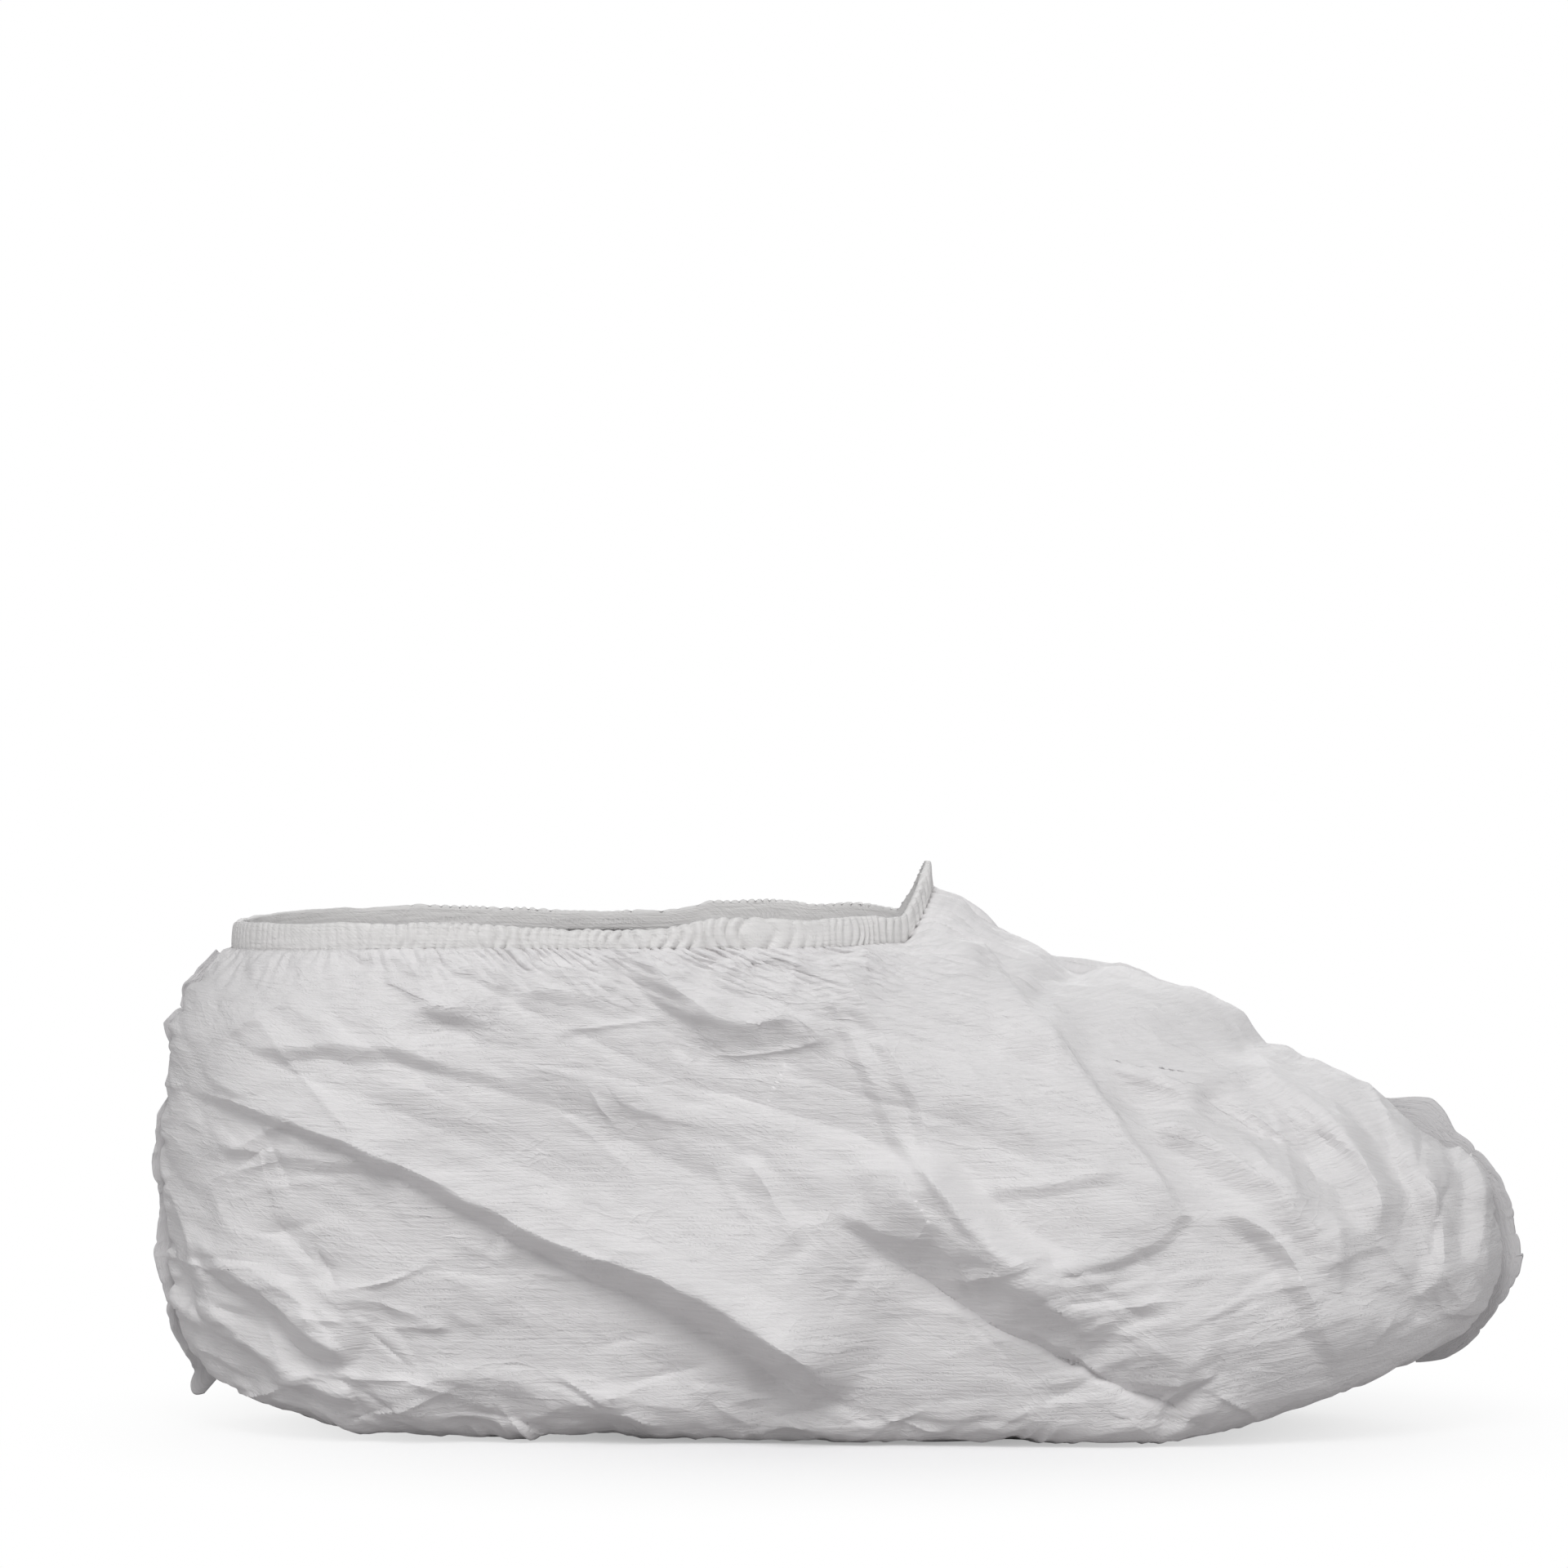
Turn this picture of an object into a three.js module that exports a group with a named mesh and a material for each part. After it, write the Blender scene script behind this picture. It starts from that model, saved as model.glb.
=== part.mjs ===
// Disposable ankle-high shoe cover of crisp white nonwoven, in the form that it has when it is worn.
// Two side panels, each with its half of the sole, are sewn together down the heel, along the sole and over the toe.
// The seam allowance stands out at the heel and the toe, and an elasticated hem gathers the opening round the ankle.
// Millimetres, +Z up, +X towards the toe, the sole on Z = 0, and Y = 0 the plane of the seams.
import * as THREE from "three";

// ---- Driving dimensions ----
const WALL = 1.2; // thickness of the nonwoven wall
const GAP = 0.3; // clearance between neighbouring pieces
const SEAM_Y = GAP / 2; // each panel ends this far from the seam plane
const STATIONS = 46; // steps along a panel, from the heel seam to the toe seam
const SOLE_ROWS = 4; // steps across the flat of the sole
const WALL_ROWS = 23; // steps up from the sole's edge to the hem
const SOLE_EDGE = 0.19; // the level at which the sole's flat ends
const HEM_HEIGHT = 6.2;
const HEM_THICKNESS = 2.2;
const HEM_STATIONS = 48; // steps along each half of the hem
const HEM_GATHERS = 16; // ruffles along each half of the hem
const HEM_RUFFLE = 0.45; // how far a ruffle stands in and out
const SEAM_THICKNESS = 1.6;
const FOLD_STEPS = 12; // straight stretches that a fold's crest is measured along

// The body's levels, from the sole seam up to the hem. Each level is a line round one side, from the heel seam to the
// toe seam: heelX, heelZ and toeX, toeZ are its two ends, and sideZ its height between them. It leaves that height
// behind heelFrom and beyond toeFrom. heelHalf and ballHalf are its half widths, and heelRound and toeRound the
// lengths over which it closes in to the seams.
const BODY = [
  { level: 0.0, heelX: -120, heelZ: 0.6, heelFrom: -100, sideZ: 0, toeX: 114, toeZ: 10.2, toeFrom: 72,
    heelHalf: 0, ballHalf: 0, heelRound: 50, toeRound: 60 },
  { level: 0.19, heelX: -136, heelZ: 4.2, heelFrom: -106, sideZ: 0, toeX: 133, toeZ: 15.5, toeFrom: 74,
    heelHalf: 33, ballHalf: 45, heelRound: 48, toeRound: 76 },
  { level: 0.27, heelX: -148, heelZ: 12, heelFrom: -108, sideZ: 5, toeX: 146, toeZ: 22, toeFrom: 66,
    heelHalf: 41, ballHalf: 54, heelRound: 54, toeRound: 84 },
  { level: 0.4, heelX: -154, heelZ: 30, heelFrom: -90, sideZ: 24, toeX: 154, toeZ: 36, toeFrom: 40,
    heelHalf: 46, ballHalf: 57.5, heelRound: 60, toeRound: 90 },
  { level: 0.56, heelX: -154.5, heelZ: 54, heelFrom: -90, sideZ: 50, toeX: 151, toeZ: 54, toeFrom: 40,
    heelHalf: 48, ballHalf: 56, heelRound: 62, toeRound: 94 },
  { level: 0.68, heelX: -155, heelZ: 74, heelFrom: -90, sideZ: 70, toeX: 136, toeZ: 71, toeFrom: 30,
    heelHalf: 49, ballHalf: 52.5, heelRound: 62, toeRound: 98 },
  { level: 0.78, heelX: -154.5, heelZ: 89, heelFrom: -90, sideZ: 85, toeX: 106, toeZ: 87, toeFrom: 20,
    heelHalf: 50, ballHalf: 50, heelRound: 62, toeRound: 96 },
  { level: 0.87, heelX: -152, heelZ: 100, heelFrom: -90, sideZ: 97, toeX: 80, toeZ: 102, toeFrom: 10,
    heelHalf: 50, ballHalf: 48.5, heelRound: 62, toeRound: 90 },
  { level: 0.94, heelX: -147, heelZ: 106, heelFrom: -90, sideZ: 105, toeX: 50, toeZ: 109.5, toeFrom: 0,
    heelHalf: 49.5, ballHalf: 47.5, heelRound: 60, toeRound: 70 },
  { level: 1.0, heelX: -141.5, heelZ: 111, heelFrom: -90, sideZ: 112.5, toeX: 22, toeZ: 125.5, toeFrom: 0,
    heelHalf: 48.5, ballHalf: 45, heelRound: 58, toeRound: 44 },
];
const WAIST = [-70, 70]; // the half width goes from heelHalf to ballHalf between these
const ROUNDING = 0.56; // 0.5 closes an end as an ellipse, and more makes it sharper

// The main folds. Each crest runs from, via and to points of the side view (x, z), and stands height proud of the
// body, or below it where height is negative. left and right are the widths of its two flanks, seen along the crest.
const NEAR_FOLDS = [
  { name: "heel_to_sole", from: [-146, 76], via: [-60, 45], to: [18, 11], height: 10, left: 22, right: 11 },
  { name: "ankle_drape", from: [-144, 83], via: [-103, 91], to: [-50, 76], height: 6.5, left: 13, right: 10 },
  { name: "hem_wedge", from: [-49, 110], via: [-38, 103], to: [-24, 92], height: 5.5, left: 10, right: 10 },
  { name: "flap_back", from: [-19, 110], via: [10, 70], to: [49, 34], height: 7.5, left: 17, right: 10 },
  { name: "flap_front", from: [34, 109], via: [62, 77], to: [80, 48], height: 6.5, left: 10, right: 16 },
  { name: "flap_foot", from: [44, 36], via: [63, 42], to: [82, 50], height: 4, left: 12, right: 10 },
  { name: "ball_fold", from: [-2, 48], via: [36, 26], to: [80, 7], height: 6.5, left: 13, right: 10 },
  { name: "heel_low", from: [-150, 47], via: [-127, 31], to: [-98, 16], height: 5.5, left: 12, right: 10 },
  { name: "toe_crease", from: [64, 84], via: [97, 75], to: [120, 47], height: -4, left: 10, right: 10 },
  { name: "toe_edge", from: [98, 90], via: [117, 76], to: [134, 56], height: 4.5, left: 10, right: 13 },
  { name: "toe_valley", from: [90, 54], via: [104, 35], to: [115, 15], height: -4, left: 10, right: 10 },
];
const FAR_FOLDS = [
  { name: "heel_to_waist", from: [-146, 62], via: [-78, 48], to: [-10, 18], height: 8.5, left: 20, right: 11 },
  { name: "ankle_swag", from: [-142, 93], via: [-92, 84], to: [-38, 93], height: 6, left: 12, right: 10 },
  { name: "hem_fall", from: [-64, 109], via: [-40, 90], to: [-12, 66], height: 6, left: 12, right: 10 },
  { name: "instep_fall", from: [18, 112], via: [38, 76], to: [62, 40], height: 7, left: 10, right: 16 },
  { name: "waist_fold", from: [-10, 58], via: [28, 34], to: [74, 12], height: 6.5, left: 14, right: 10 },
  { name: "heel_corner", from: [-150, 35], via: [-124, 25], to: [-96, 14], height: 5, left: 10, right: 10 },
  { name: "toe_swag", from: [72, 88], via: [98, 66], to: [119, 36], height: 5, left: 10, right: 12 },
  { name: "toe_pleat", from: [104, 86], via: [124, 66], to: [135, 40], height: -4, left: 10, right: 10 },
];
const FOLD_TAPER = 0.16; // share of a fold's length over which it fades in and out
const FOLD_TROUGH = 0.3; // depth of the trough along the narrower flank, as a share of the height
const SEAM_CALM = 0.12; // share of the way round over which folds fade into the seams
const SOLE_LEVEL = 0.25; // folds start above this level
const HEM_LEVEL = 0.93; // and end below this one
const CUT_BIAS = 0.85; // how much shorter the other cut of a face has to be before it is taken

// The standing seam allowance: point of the seam line on the body, and how far it stands out there.
const HEEL_SEAM = { fromLevel: 0.24, toLevel: 0.97, end: "heel", low: 3.4, high: 2.2, most: 5.2, peak: 0.35 };
const TOE_SEAM = { fromLevel: 0.24, toLevel: 0.72, end: "toe", low: 3.2, high: 2.4, most: 6, peak: 0.45 };

// ---- Small curves ----
const clamp01 = (value) => Math.min(1, Math.max(0, value));
const smooth = (start, end, value) => {
  const share = clamp01((value - start) / (end - start));
  return share * share * (3 - 2 * share);
};
const mix = (a, b, share) => a + (b - a) * share;

/** The level of each row of a panel, from the sole seam up to the hem. */
const ROW_LEVELS = Array.from({ length: SOLE_ROWS + WALL_ROWS + 1 }, (_, row) =>
  row < SOLE_ROWS ? (SOLE_EDGE * row) / SOLE_ROWS : mix(SOLE_EDGE, 1, (row - SOLE_ROWS) / WALL_ROWS),
);

/** A column of a table at any level, on a curve through its rows that never passes beyond them. */
function column(rows, name, level) {
  const last = rows.length - 1;
  const high = Math.min(Math.max(rows.findIndex((row) => row.level >= level), 1), last);
  const rise = (from, to) => {
    const [a, b] = [rows[Math.max(from, 0)], rows[Math.min(to, last)]];
    return a === b ? 0 : (b[name] - a[name]) / (b.level - a.level);
  };
  const slopeAt = (index) => {
    const [before, after] = [rise(index - 1, index), rise(index, index + 1)];
    return before * after <= 0 ? 0 : (2 * before * after) / (before + after);
  };
  const [a, b] = [rows[high - 1], rows[high]];
  const span = b.level - a.level;
  const share = (level - a.level) / span;
  const [square, cube] = [share ** 2, share ** 3];
  return (
    (2 * cube - 3 * square + 1) * a[name] +
    (cube - 2 * square + share) * span * slopeAt(high - 1) +
    (3 * square - 2 * cube) * b[name] +
    (cube - square) * span * slopeAt(high)
  );
}

/** The smooth body without folds, for one side (-1 near, 1 far). station runs from the heel seam, 0, to the toe, 1. */
function bodyPoint(side, station, level) {
  const at = (name) => column(BODY, name, level);
  const [heelX, toeX] = [at("heelX"), at("toeX")];
  const x = mix(heelX, toeX, (1 - Math.cos(Math.PI * station)) / 2);
  const closing = (share) => Math.max(0, 1 - (1 - clamp01(share)) ** 2) ** ROUNDING;
  const half =
    mix(at("heelHalf"), at("ballHalf"), smooth(WAIST[0], WAIST[1], x)) *
    closing((x - heelX) / at("heelRound")) *
    closing((toeX - x) / at("toeRound"));
  const z =
    at("sideZ") +
    (at("heelZ") - at("sideZ")) * clamp01((at("heelFrom") - x) / (at("heelFrom") - heelX)) ** 1.6 +
    (at("toeZ") - at("sideZ")) * clamp01((x - at("toeFrom")) / (toeX - at("toeFrom"))) ** 1.35;
  return new THREE.Vector3(x, side * Math.max(half, SEAM_Y), z);
}

/** How far a fold lifts the body at a point of the side view. */
function foldLift(fold, crest, x, z) {
  let best = { distance: Infinity, offset: 0, along: 0 };
  for (let i = 0; i < FOLD_STEPS; i++) {
    const [a, b] = [crest[i], crest[i + 1]];
    const [dx, dz] = [b.x - a.x, b.y - a.y];
    const share = clamp01(((x - a.x) * dx + (z - a.y) * dz) / (dx * dx + dz * dz));
    const [ox, oz] = [x - a.x - share * dx, z - a.y - share * dz];
    const distance = Math.hypot(ox, oz);
    if (distance < best.distance)
      best = { distance, offset: distance * Math.sign(dx * oz - dz * ox), along: (i + share) / FOLD_STEPS };
  }
  const width = best.offset > 0 ? fold.left : fold.right;
  const narrow = Math.min(fold.left, fold.right);
  const towards = fold.left < fold.right ? best.offset : -best.offset;
  const crestLift = Math.exp(-((best.distance / width) ** 2));
  const trough = FOLD_TROUGH * Math.exp(-(((towards - 1.9 * narrow) / narrow) ** 2));
  const fade = smooth(0, FOLD_TAPER, best.along) * smooth(0, FOLD_TAPER, 1 - best.along);
  return fold.height * (crestLift - trough) * fade;
}

/** All folds of one side at a point of the side view, faded out at the seams, the sole and the hem. */
function allFolds(folds, station, level, x, z) {
  const calm =
    smooth(0, SEAM_CALM, station) *
    smooth(0, SEAM_CALM, 1 - station) *
    smooth(SOLE_LEVEL, SOLE_LEVEL + 0.12, level) *
    (1 - smooth(HEM_LEVEL, 1, level));
  return calm === 0 ? 0 : calm * folds.reduce((sum, { fold, crest }) => sum + foldLift(fold, crest, x, z), 0);
}

// ---- Building closed meshes ----
/** A grid of points, [row][column], and the outward normal at each. flip turns the normals round. */
function gridNormals(points, flip) {
  const last = [points.length - 1, points[0].length - 1];
  return points.map((row, i) =>
    row.map((_, j) => {
      const along = points[Math.min(i + 1, last[0])][j].clone().sub(points[Math.max(i - 1, 0)][j]);
      const across = points[i][Math.min(j + 1, last[1])].clone().sub(points[i][Math.max(j - 1, 0)]);
      return along.cross(across).normalize().multiplyScalar(flip);
    }),
  );
}

/**
 * A closed mesh from quads of a list of points. A quad is four indices, counter-clockwise from outside. It is cut from
 * b to d, the way that most folds run, unless that cut is much the longer one.
 */
function closedGeometry(points, quads) {
  const cut = ([a, b, c, d]) => {
    const shorter = points[a].distanceTo(points[c]) < CUT_BIAS * points[b].distanceTo(points[d]);
    return shorter ? [a, b, c, a, c, d] : [a, b, d, b, c, d];
  };
  const geometry = new THREE.BufferGeometry();
  geometry.setAttribute("position", new THREE.Float32BufferAttribute(points.flatMap((p) => p.toArray()), 3));
  geometry.setIndex(quads.flatMap(cut));
  return geometry;
}

/** A wall between an outer and an inner grid of the same size, closed round its four edges. */
function wallGeometry(outer, inner, flip) {
  const [rows, columns] = [outer.length, outer[0].length];
  const points = [...outer.flat(), ...inner.flat()];
  const at = (layer, i, j) => layer * rows * columns + i * columns + j;
  const quads = [];
  const add = (a, b, c, d) => quads.push(flip > 0 ? [a, b, c, d] : [a, d, c, b]);
  for (let i = 0; i + 1 < rows; i++) {
    for (let j = 0; j + 1 < columns; j++) {
      add(at(0, i, j), at(0, i + 1, j), at(0, i + 1, j + 1), at(0, i, j + 1));
      add(at(1, i, j), at(1, i, j + 1), at(1, i + 1, j + 1), at(1, i + 1, j));
    }
    add(at(0, i, 0), at(1, i, 0), at(1, i + 1, 0), at(0, i + 1, 0));
    add(at(0, i + 1, columns - 1), at(1, i + 1, columns - 1), at(1, i, columns - 1), at(0, i, columns - 1));
  }
  for (let j = 0; j + 1 < columns; j++) {
    add(at(0, 0, j + 1), at(1, 0, j + 1), at(1, 0, j), at(0, 0, j));
    add(at(0, rows - 1, j), at(1, rows - 1, j), at(1, rows - 1, j + 1), at(0, rows - 1, j + 1));
  }
  return closedGeometry(points, quads);
}

/** A closed mesh through sections of equal length, each a ring of points. loop joins the last to the first. */
function sweptGeometry(sections, loop) {
  const size = sections[0].length;
  const quads = [];
  const count = loop ? sections.length : sections.length - 1;
  for (let i = 0; i < count; i++) {
    const next = (i + 1) % sections.length;
    for (let j = 0; j < size; j++) {
      const k = (j + 1) % size;
      quads.push([i * size + j, i * size + k, next * size + k, next * size + j]);
    }
  }
  const geometry = closedGeometry(sections.flat(), quads);
  if (loop) return geometry;
  const caps = [];
  for (let j = 1; j + 1 < size; j++) {
    const end = (sections.length - 1) * size;
    caps.push(0, j + 1, j, end, end + j, end + j + 1);
  }
  geometry.setIndex([...geometry.index.array, ...caps]);
  return geometry;
}

// ---- The pieces ----
/** One side of the cover with its half of the sole, as a thin folded wall. */
function sidePanel(side, folds) {
  const measured = folds.map((fold) => {
    const [from, via, to] = [fold.from, fold.via, fold.to].map(([x, z]) => new THREE.Vector2(x, z));
    const pull = via.clone().multiplyScalar(2).sub(from.clone().add(to).multiplyScalar(0.5));
    return { fold, crest: new THREE.QuadraticBezierCurve(from, pull, to).getPoints(FOLD_STEPS) };
  });
  const body = [];
  for (let i = 0; i <= STATIONS; i++) body.push(ROW_LEVELS.map((level) => bodyPoint(side, i / STATIONS, level)));
  const bodyOut = gridNormals(body, side < 0 ? 1 : -1);
  const outer = body.map((row, i) =>
    row.map((point, j) => {
      const lift = allFolds(measured, i / STATIONS, ROW_LEVELS[j], point.x, point.z);
      return point.clone().addScaledVector(bodyOut[i][j], lift);
    }),
  );
  const outward = gridNormals(outer, side < 0 ? 1 : -1);
  const inner = outer.map((row, i) =>
    row.map((point, j) => {
      const behind = point.clone().addScaledVector(outward[i][j], -WALL);
      behind.y = side * Math.max(side * behind.y, SEAM_Y);
      return behind;
    }),
  );
  return wallGeometry(outer, inner, side < 0 ? 1 : -1);
}

/** The folded hem round the opening, a padded band with ruffles, standing on the panels' upper edges. */
function openingHem() {
  const stations = [];
  for (let i = 0; i < HEM_STATIONS; i++) stations.push({ side: -1, station: i / HEM_STATIONS });
  for (let i = 0; i < HEM_STATIONS; i++) stations.push({ side: 1, station: 1 - i / HEM_STATIONS });
  const line = stations.map(({ side, station }) => {
    const edge = bodyPoint(side, station, 1);
    if (station === 0 || station === 1) edge.y = 0;
    return edge;
  });
  const sections = line.map((point, i) => {
    const along = line[(i + 1) % line.length].clone().sub(line[(i + line.length - 1) % line.length]);
    const out = new THREE.Vector3(along.y, -along.x, 0).normalize();
    const ruffle = HEM_RUFFLE * Math.cos((Math.PI * 2 * HEM_GATHERS * i) / HEM_STATIONS);
    const corner = (across, up) =>
      point.clone().addScaledVector(out, across - HEM_THICKNESS / 2 - up * 0.25 + (up / HEM_HEIGHT) * ruffle)
        .add(new THREE.Vector3(0, 0, GAP + up));
    const [half, middle] = [HEM_THICKNESS / 2, HEM_HEIGHT * 0.55];
    const crown = HEM_HEIGHT + 0.5 * ruffle;
    return [corner(-half, 0), corner(-half - 0.2, middle), corner(-half * 0.5, crown),
      corner(half * 0.5, crown), corner(half + 0.4, middle), corner(half, 0)];
  });
  return sweptGeometry(sections, true);
}

/** A strip of seam allowance that stands out from the body in the seam plane. */
function standingSeam({ fromLevel, toLevel, end, low, high, most, peak }) {
  const station = end === "heel" ? 0 : 1;
  const rows = ROW_LEVELS.filter((level) => level >= fromLevel && level <= toLevel);
  const line = rows.map((level) => bodyPoint(-1, station, level).setY(0));
  const half = SEAM_THICKNESS / 2;
  const sections = line.map((point, i) => {
    const along = line[Math.min(i + 1, line.length - 1)].clone().sub(line[Math.max(i - 1, 0)]).normalize();
    const out = new THREE.Vector3(along.z, 0, -along.x).multiplyScalar(end === "heel" ? -1 : 1);
    const share = i / (line.length - 1);
    const width = share < peak ? mix(low, most, smooth(0, peak, share)) : mix(most, high, smooth(peak, 1, share));
    const corner = (away, y) => point.clone().addScaledVector(out, away).setY(y);
    const ring = [corner(GAP, -half), corner(width, -half * 0.7), corner(width, half * 0.7), corner(GAP, half)];
    return end === "heel" ? ring.reverse() : ring;
  });
  return sweptGeometry(sections, false);
}

// ---- Materials and assembly ----
const nonwoven = () => new THREE.MeshStandardMaterial({ color: 0xe6e6e8, roughness: 0.62, metalness: 0 });
const sewnEdge = () => new THREE.MeshStandardMaterial({ color: 0xdcdcde, roughness: 0.7, metalness: 0 });

const cover = new THREE.Group();
const addPiece = (name, geometry, material) => {
  const mesh = new THREE.Mesh(geometry, material);
  mesh.name = name;
  cover.add(mesh);
};
addPiece("near_panel", sidePanel(-1, NEAR_FOLDS), nonwoven());
addPiece("far_panel", sidePanel(1, FAR_FOLDS), nonwoven());
addPiece("opening_hem", openingHem(), nonwoven());
addPiece("heel_seam", standingSeam(HEEL_SEAM), sewnEdge());
addPiece("toe_seam", standingSeam(TOE_SEAM), sewnEdge());

export default cover;
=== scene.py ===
"""Visual model of a worn disposable shoe cover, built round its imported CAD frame.

The cover is two side panels of crisp nonwoven, sewn together at the heel, the sole and the toe, and
gathered at the ankle by an elasticated hem. Each panel starts as a flat grid. It is laid over the body's
form and gets the large folds of a table. A paper-like relaxation then lets its spare cloth buckle below the
hem and along the seams, and fine creases finish it. The tables and the shapes are in millimetres, and
become metres where the mesh is made.
"""

from __future__ import annotations

import logging
import math
from dataclasses import dataclass, field
from enum import Enum

import bmesh
import bpy
import numpy as np
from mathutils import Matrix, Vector


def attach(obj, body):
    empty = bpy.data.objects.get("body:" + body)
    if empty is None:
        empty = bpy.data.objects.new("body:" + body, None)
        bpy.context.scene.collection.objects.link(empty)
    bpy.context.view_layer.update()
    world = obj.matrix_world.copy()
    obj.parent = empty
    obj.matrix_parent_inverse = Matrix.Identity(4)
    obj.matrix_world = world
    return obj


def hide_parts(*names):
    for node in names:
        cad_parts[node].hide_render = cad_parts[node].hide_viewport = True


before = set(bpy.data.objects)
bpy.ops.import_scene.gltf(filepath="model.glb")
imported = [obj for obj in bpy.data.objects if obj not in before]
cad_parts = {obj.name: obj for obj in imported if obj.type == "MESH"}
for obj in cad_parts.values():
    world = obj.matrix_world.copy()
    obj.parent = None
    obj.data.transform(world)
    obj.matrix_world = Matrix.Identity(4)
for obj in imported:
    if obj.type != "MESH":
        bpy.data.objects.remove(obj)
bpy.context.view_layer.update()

MM = 0.001
LOG = logging.getLogger("shoe_cover")
Points = np.ndarray
Socket = bpy.types.NodeSocket


class Side(Enum):
    """The two panels, by the sign of their Y."""

    NEAR = -1
    FAR = 1


class SeamEnd(Enum):
    """The two ends of a panel where a seam allowance stands out."""

    HEEL = 0
    TOE = 1


class FoldKind(Enum):
    """How the cloth runs across a fold, with the radius of its crest in millimetres."""

    SOFT = 4.0
    SWAG = 0.7
    CREASE = 0.4


# --------------------------------------------------------------------------------------------------------
# Small array tools
# --------------------------------------------------------------------------------------------------------


def ease(start: float, end: float, value: Points) -> Points:
    """A smooth step from 0 at start to 1 at end."""
    share = np.clip((value - start) / (end - start), 0.0, 1.0)
    return share * share * (3.0 - 2.0 * share)


def clear_of_ends(share: Points, start: float, end: float) -> Points:
    """0 at both ends of a share from 0 to 1, growing to 1 over a width at its start and one at its end."""
    return ease(0.0, start, share) * ease(0.0, end, 1.0 - share)


def lengths(vectors: Points) -> Points:
    """The lengths of an array of vectors."""
    return np.sqrt((vectors**2).sum(-1))


def run_along(line: Points) -> Points:
    """How far along a line of points each of them lies."""
    return np.concatenate([[0.0], np.cumsum(lengths(np.diff(line, axis=0)))])


def grid_normals(points: Points, turn: int) -> Points:
    """The unit normals of a grid of points.

    Args:
        points: The grid, rows by columns by 3.
        turn: 1 or -1, which way round the normals point.

    Returns:
        An array of the grid's own shape.
    """
    normal = np.cross(np.gradient(points, axis=0), np.gradient(points, axis=1))
    return turn * normal / np.maximum(lengths(normal), 1e-9)[..., None]


def blurred(values: Points, times: int) -> Points:
    """A grid of values, averaged with its neighbours the given number of times. Its edges stay."""
    result = values.copy()
    for _ in range(times):
        result[1:-1] = (result[:-2] + 2.0 * result[1:-1] + result[2:]) / 4.0
        result[:, 1:-1] = (result[:, :-2] + 2.0 * result[:, 1:-1] + result[:, 2:]) / 4.0
    return result


def refined(values: Points) -> Points:
    """A grid with a new row and a new column between every two, on smooth curves through the old ones."""
    for axis in (0, 1):
        old = np.moveaxis(values, axis, 0)
        new = np.empty((2 * len(old) - 1, *old.shape[1:]))
        new[::2] = old
        new[1::2] = (old[:-1] + old[1:]) / 2.0
        new[3:-2:2] = (9.0 * (old[1:-2] + old[2:-1]) - old[:-3] - old[3:]) / 16.0
        values = np.moveaxis(new, 0, axis)
    return values


@dataclass(frozen=True)
class ValueNoise:
    """Smooth random values over a plane, the same each time for one seed.

    Attributes:
        seed: Which of the many such patterns.
        size: The distance between its random values, in millimetres, along the two directions.
    """

    seed: int
    size: tuple[float, float]

    TABLE = 64

    def at(self, u: Points, v: Points) -> Points:
        """The noise, from about -1 to 1, at arrays of places in millimetres."""
        count = self.TABLE
        table = np.random.default_rng(self.seed).uniform(-1.0, 1.0, (count, count))
        a, b = u / self.size[0], v / self.size[1]
        i, j = np.floor(a).astype(int), np.floor(b).astype(int)
        s, t = a - i, b - j
        s, t = s * s * (3.0 - 2.0 * s), t * t * (3.0 - 2.0 * t)
        low = table[i % count, j % count] * (1.0 - s) + table[(i + 1) % count, j % count] * s
        high = table[i % count, (j + 1) % count] * (1.0 - s) + table[(i + 1) % count, (j + 1) % count] * s
        return low * (1.0 - t) + high * t

    def along(self, run: Points) -> Points:
        """The noise along a line, at places in millimetres."""
        return self.at(run, 0 * run)


@dataclass(frozen=True)
class CrumpledFacets:
    """The relief of paper that was crumpled and opened again: tilted flat facets with ridges between them.

    Attributes:
        seed: Which of the many such patterns.
        size: The facets' size in millimetres, along the two directions.
        slope: How steeply the facets tilt.
    """

    seed: int
    size: tuple[float, float]
    slope: float

    # how far the facets differ in height, and how much they sag towards their edges, as shares of the tilt
    LIFT = 0.25
    SAG = 0.9

    def at(self, u: Points, v: Points) -> Points:
        """The height in millimetres at arrays of places in millimetres."""
        rng = np.random.default_rng(self.seed)
        scale = np.array(self.size)
        place = np.stack([u, v], -1).reshape(-1, 2) / scale
        low, high = np.floor(place.min(0)).astype(int) - 2, np.ceil(place.max(0)).astype(int) + 3
        shape = tuple(high - low)
        jitter = rng.uniform(0.0, 1.0, (*shape, 2))
        tilt = rng.uniform(-self.slope, self.slope, (*shape, 2)) * scale
        lift = rng.uniform(-self.LIFT, self.LIFT, shape) * self.slope * scale.mean()
        cell = np.floor(place).astype(int) - low
        best = np.full(len(place), -np.inf)
        for step_u in (-1, 0, 1):
            for step_v in (-1, 0, 1):
                i, j = cell[:, 0] + step_u, cell[:, 1] + step_v
                offset = place - (np.stack([i, j], -1) + low + jitter[i, j])
                height = lift[i, j] + (tilt[i, j] * offset).sum(-1)
                height -= self.SAG * self.slope * scale.mean() * (offset**2).sum(-1)
                best = np.maximum(best, height)
        best = best.reshape(u.shape)
        return best - best.mean()


# --------------------------------------------------------------------------------------------------------
# The cover's form
# --------------------------------------------------------------------------------------------------------


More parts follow.
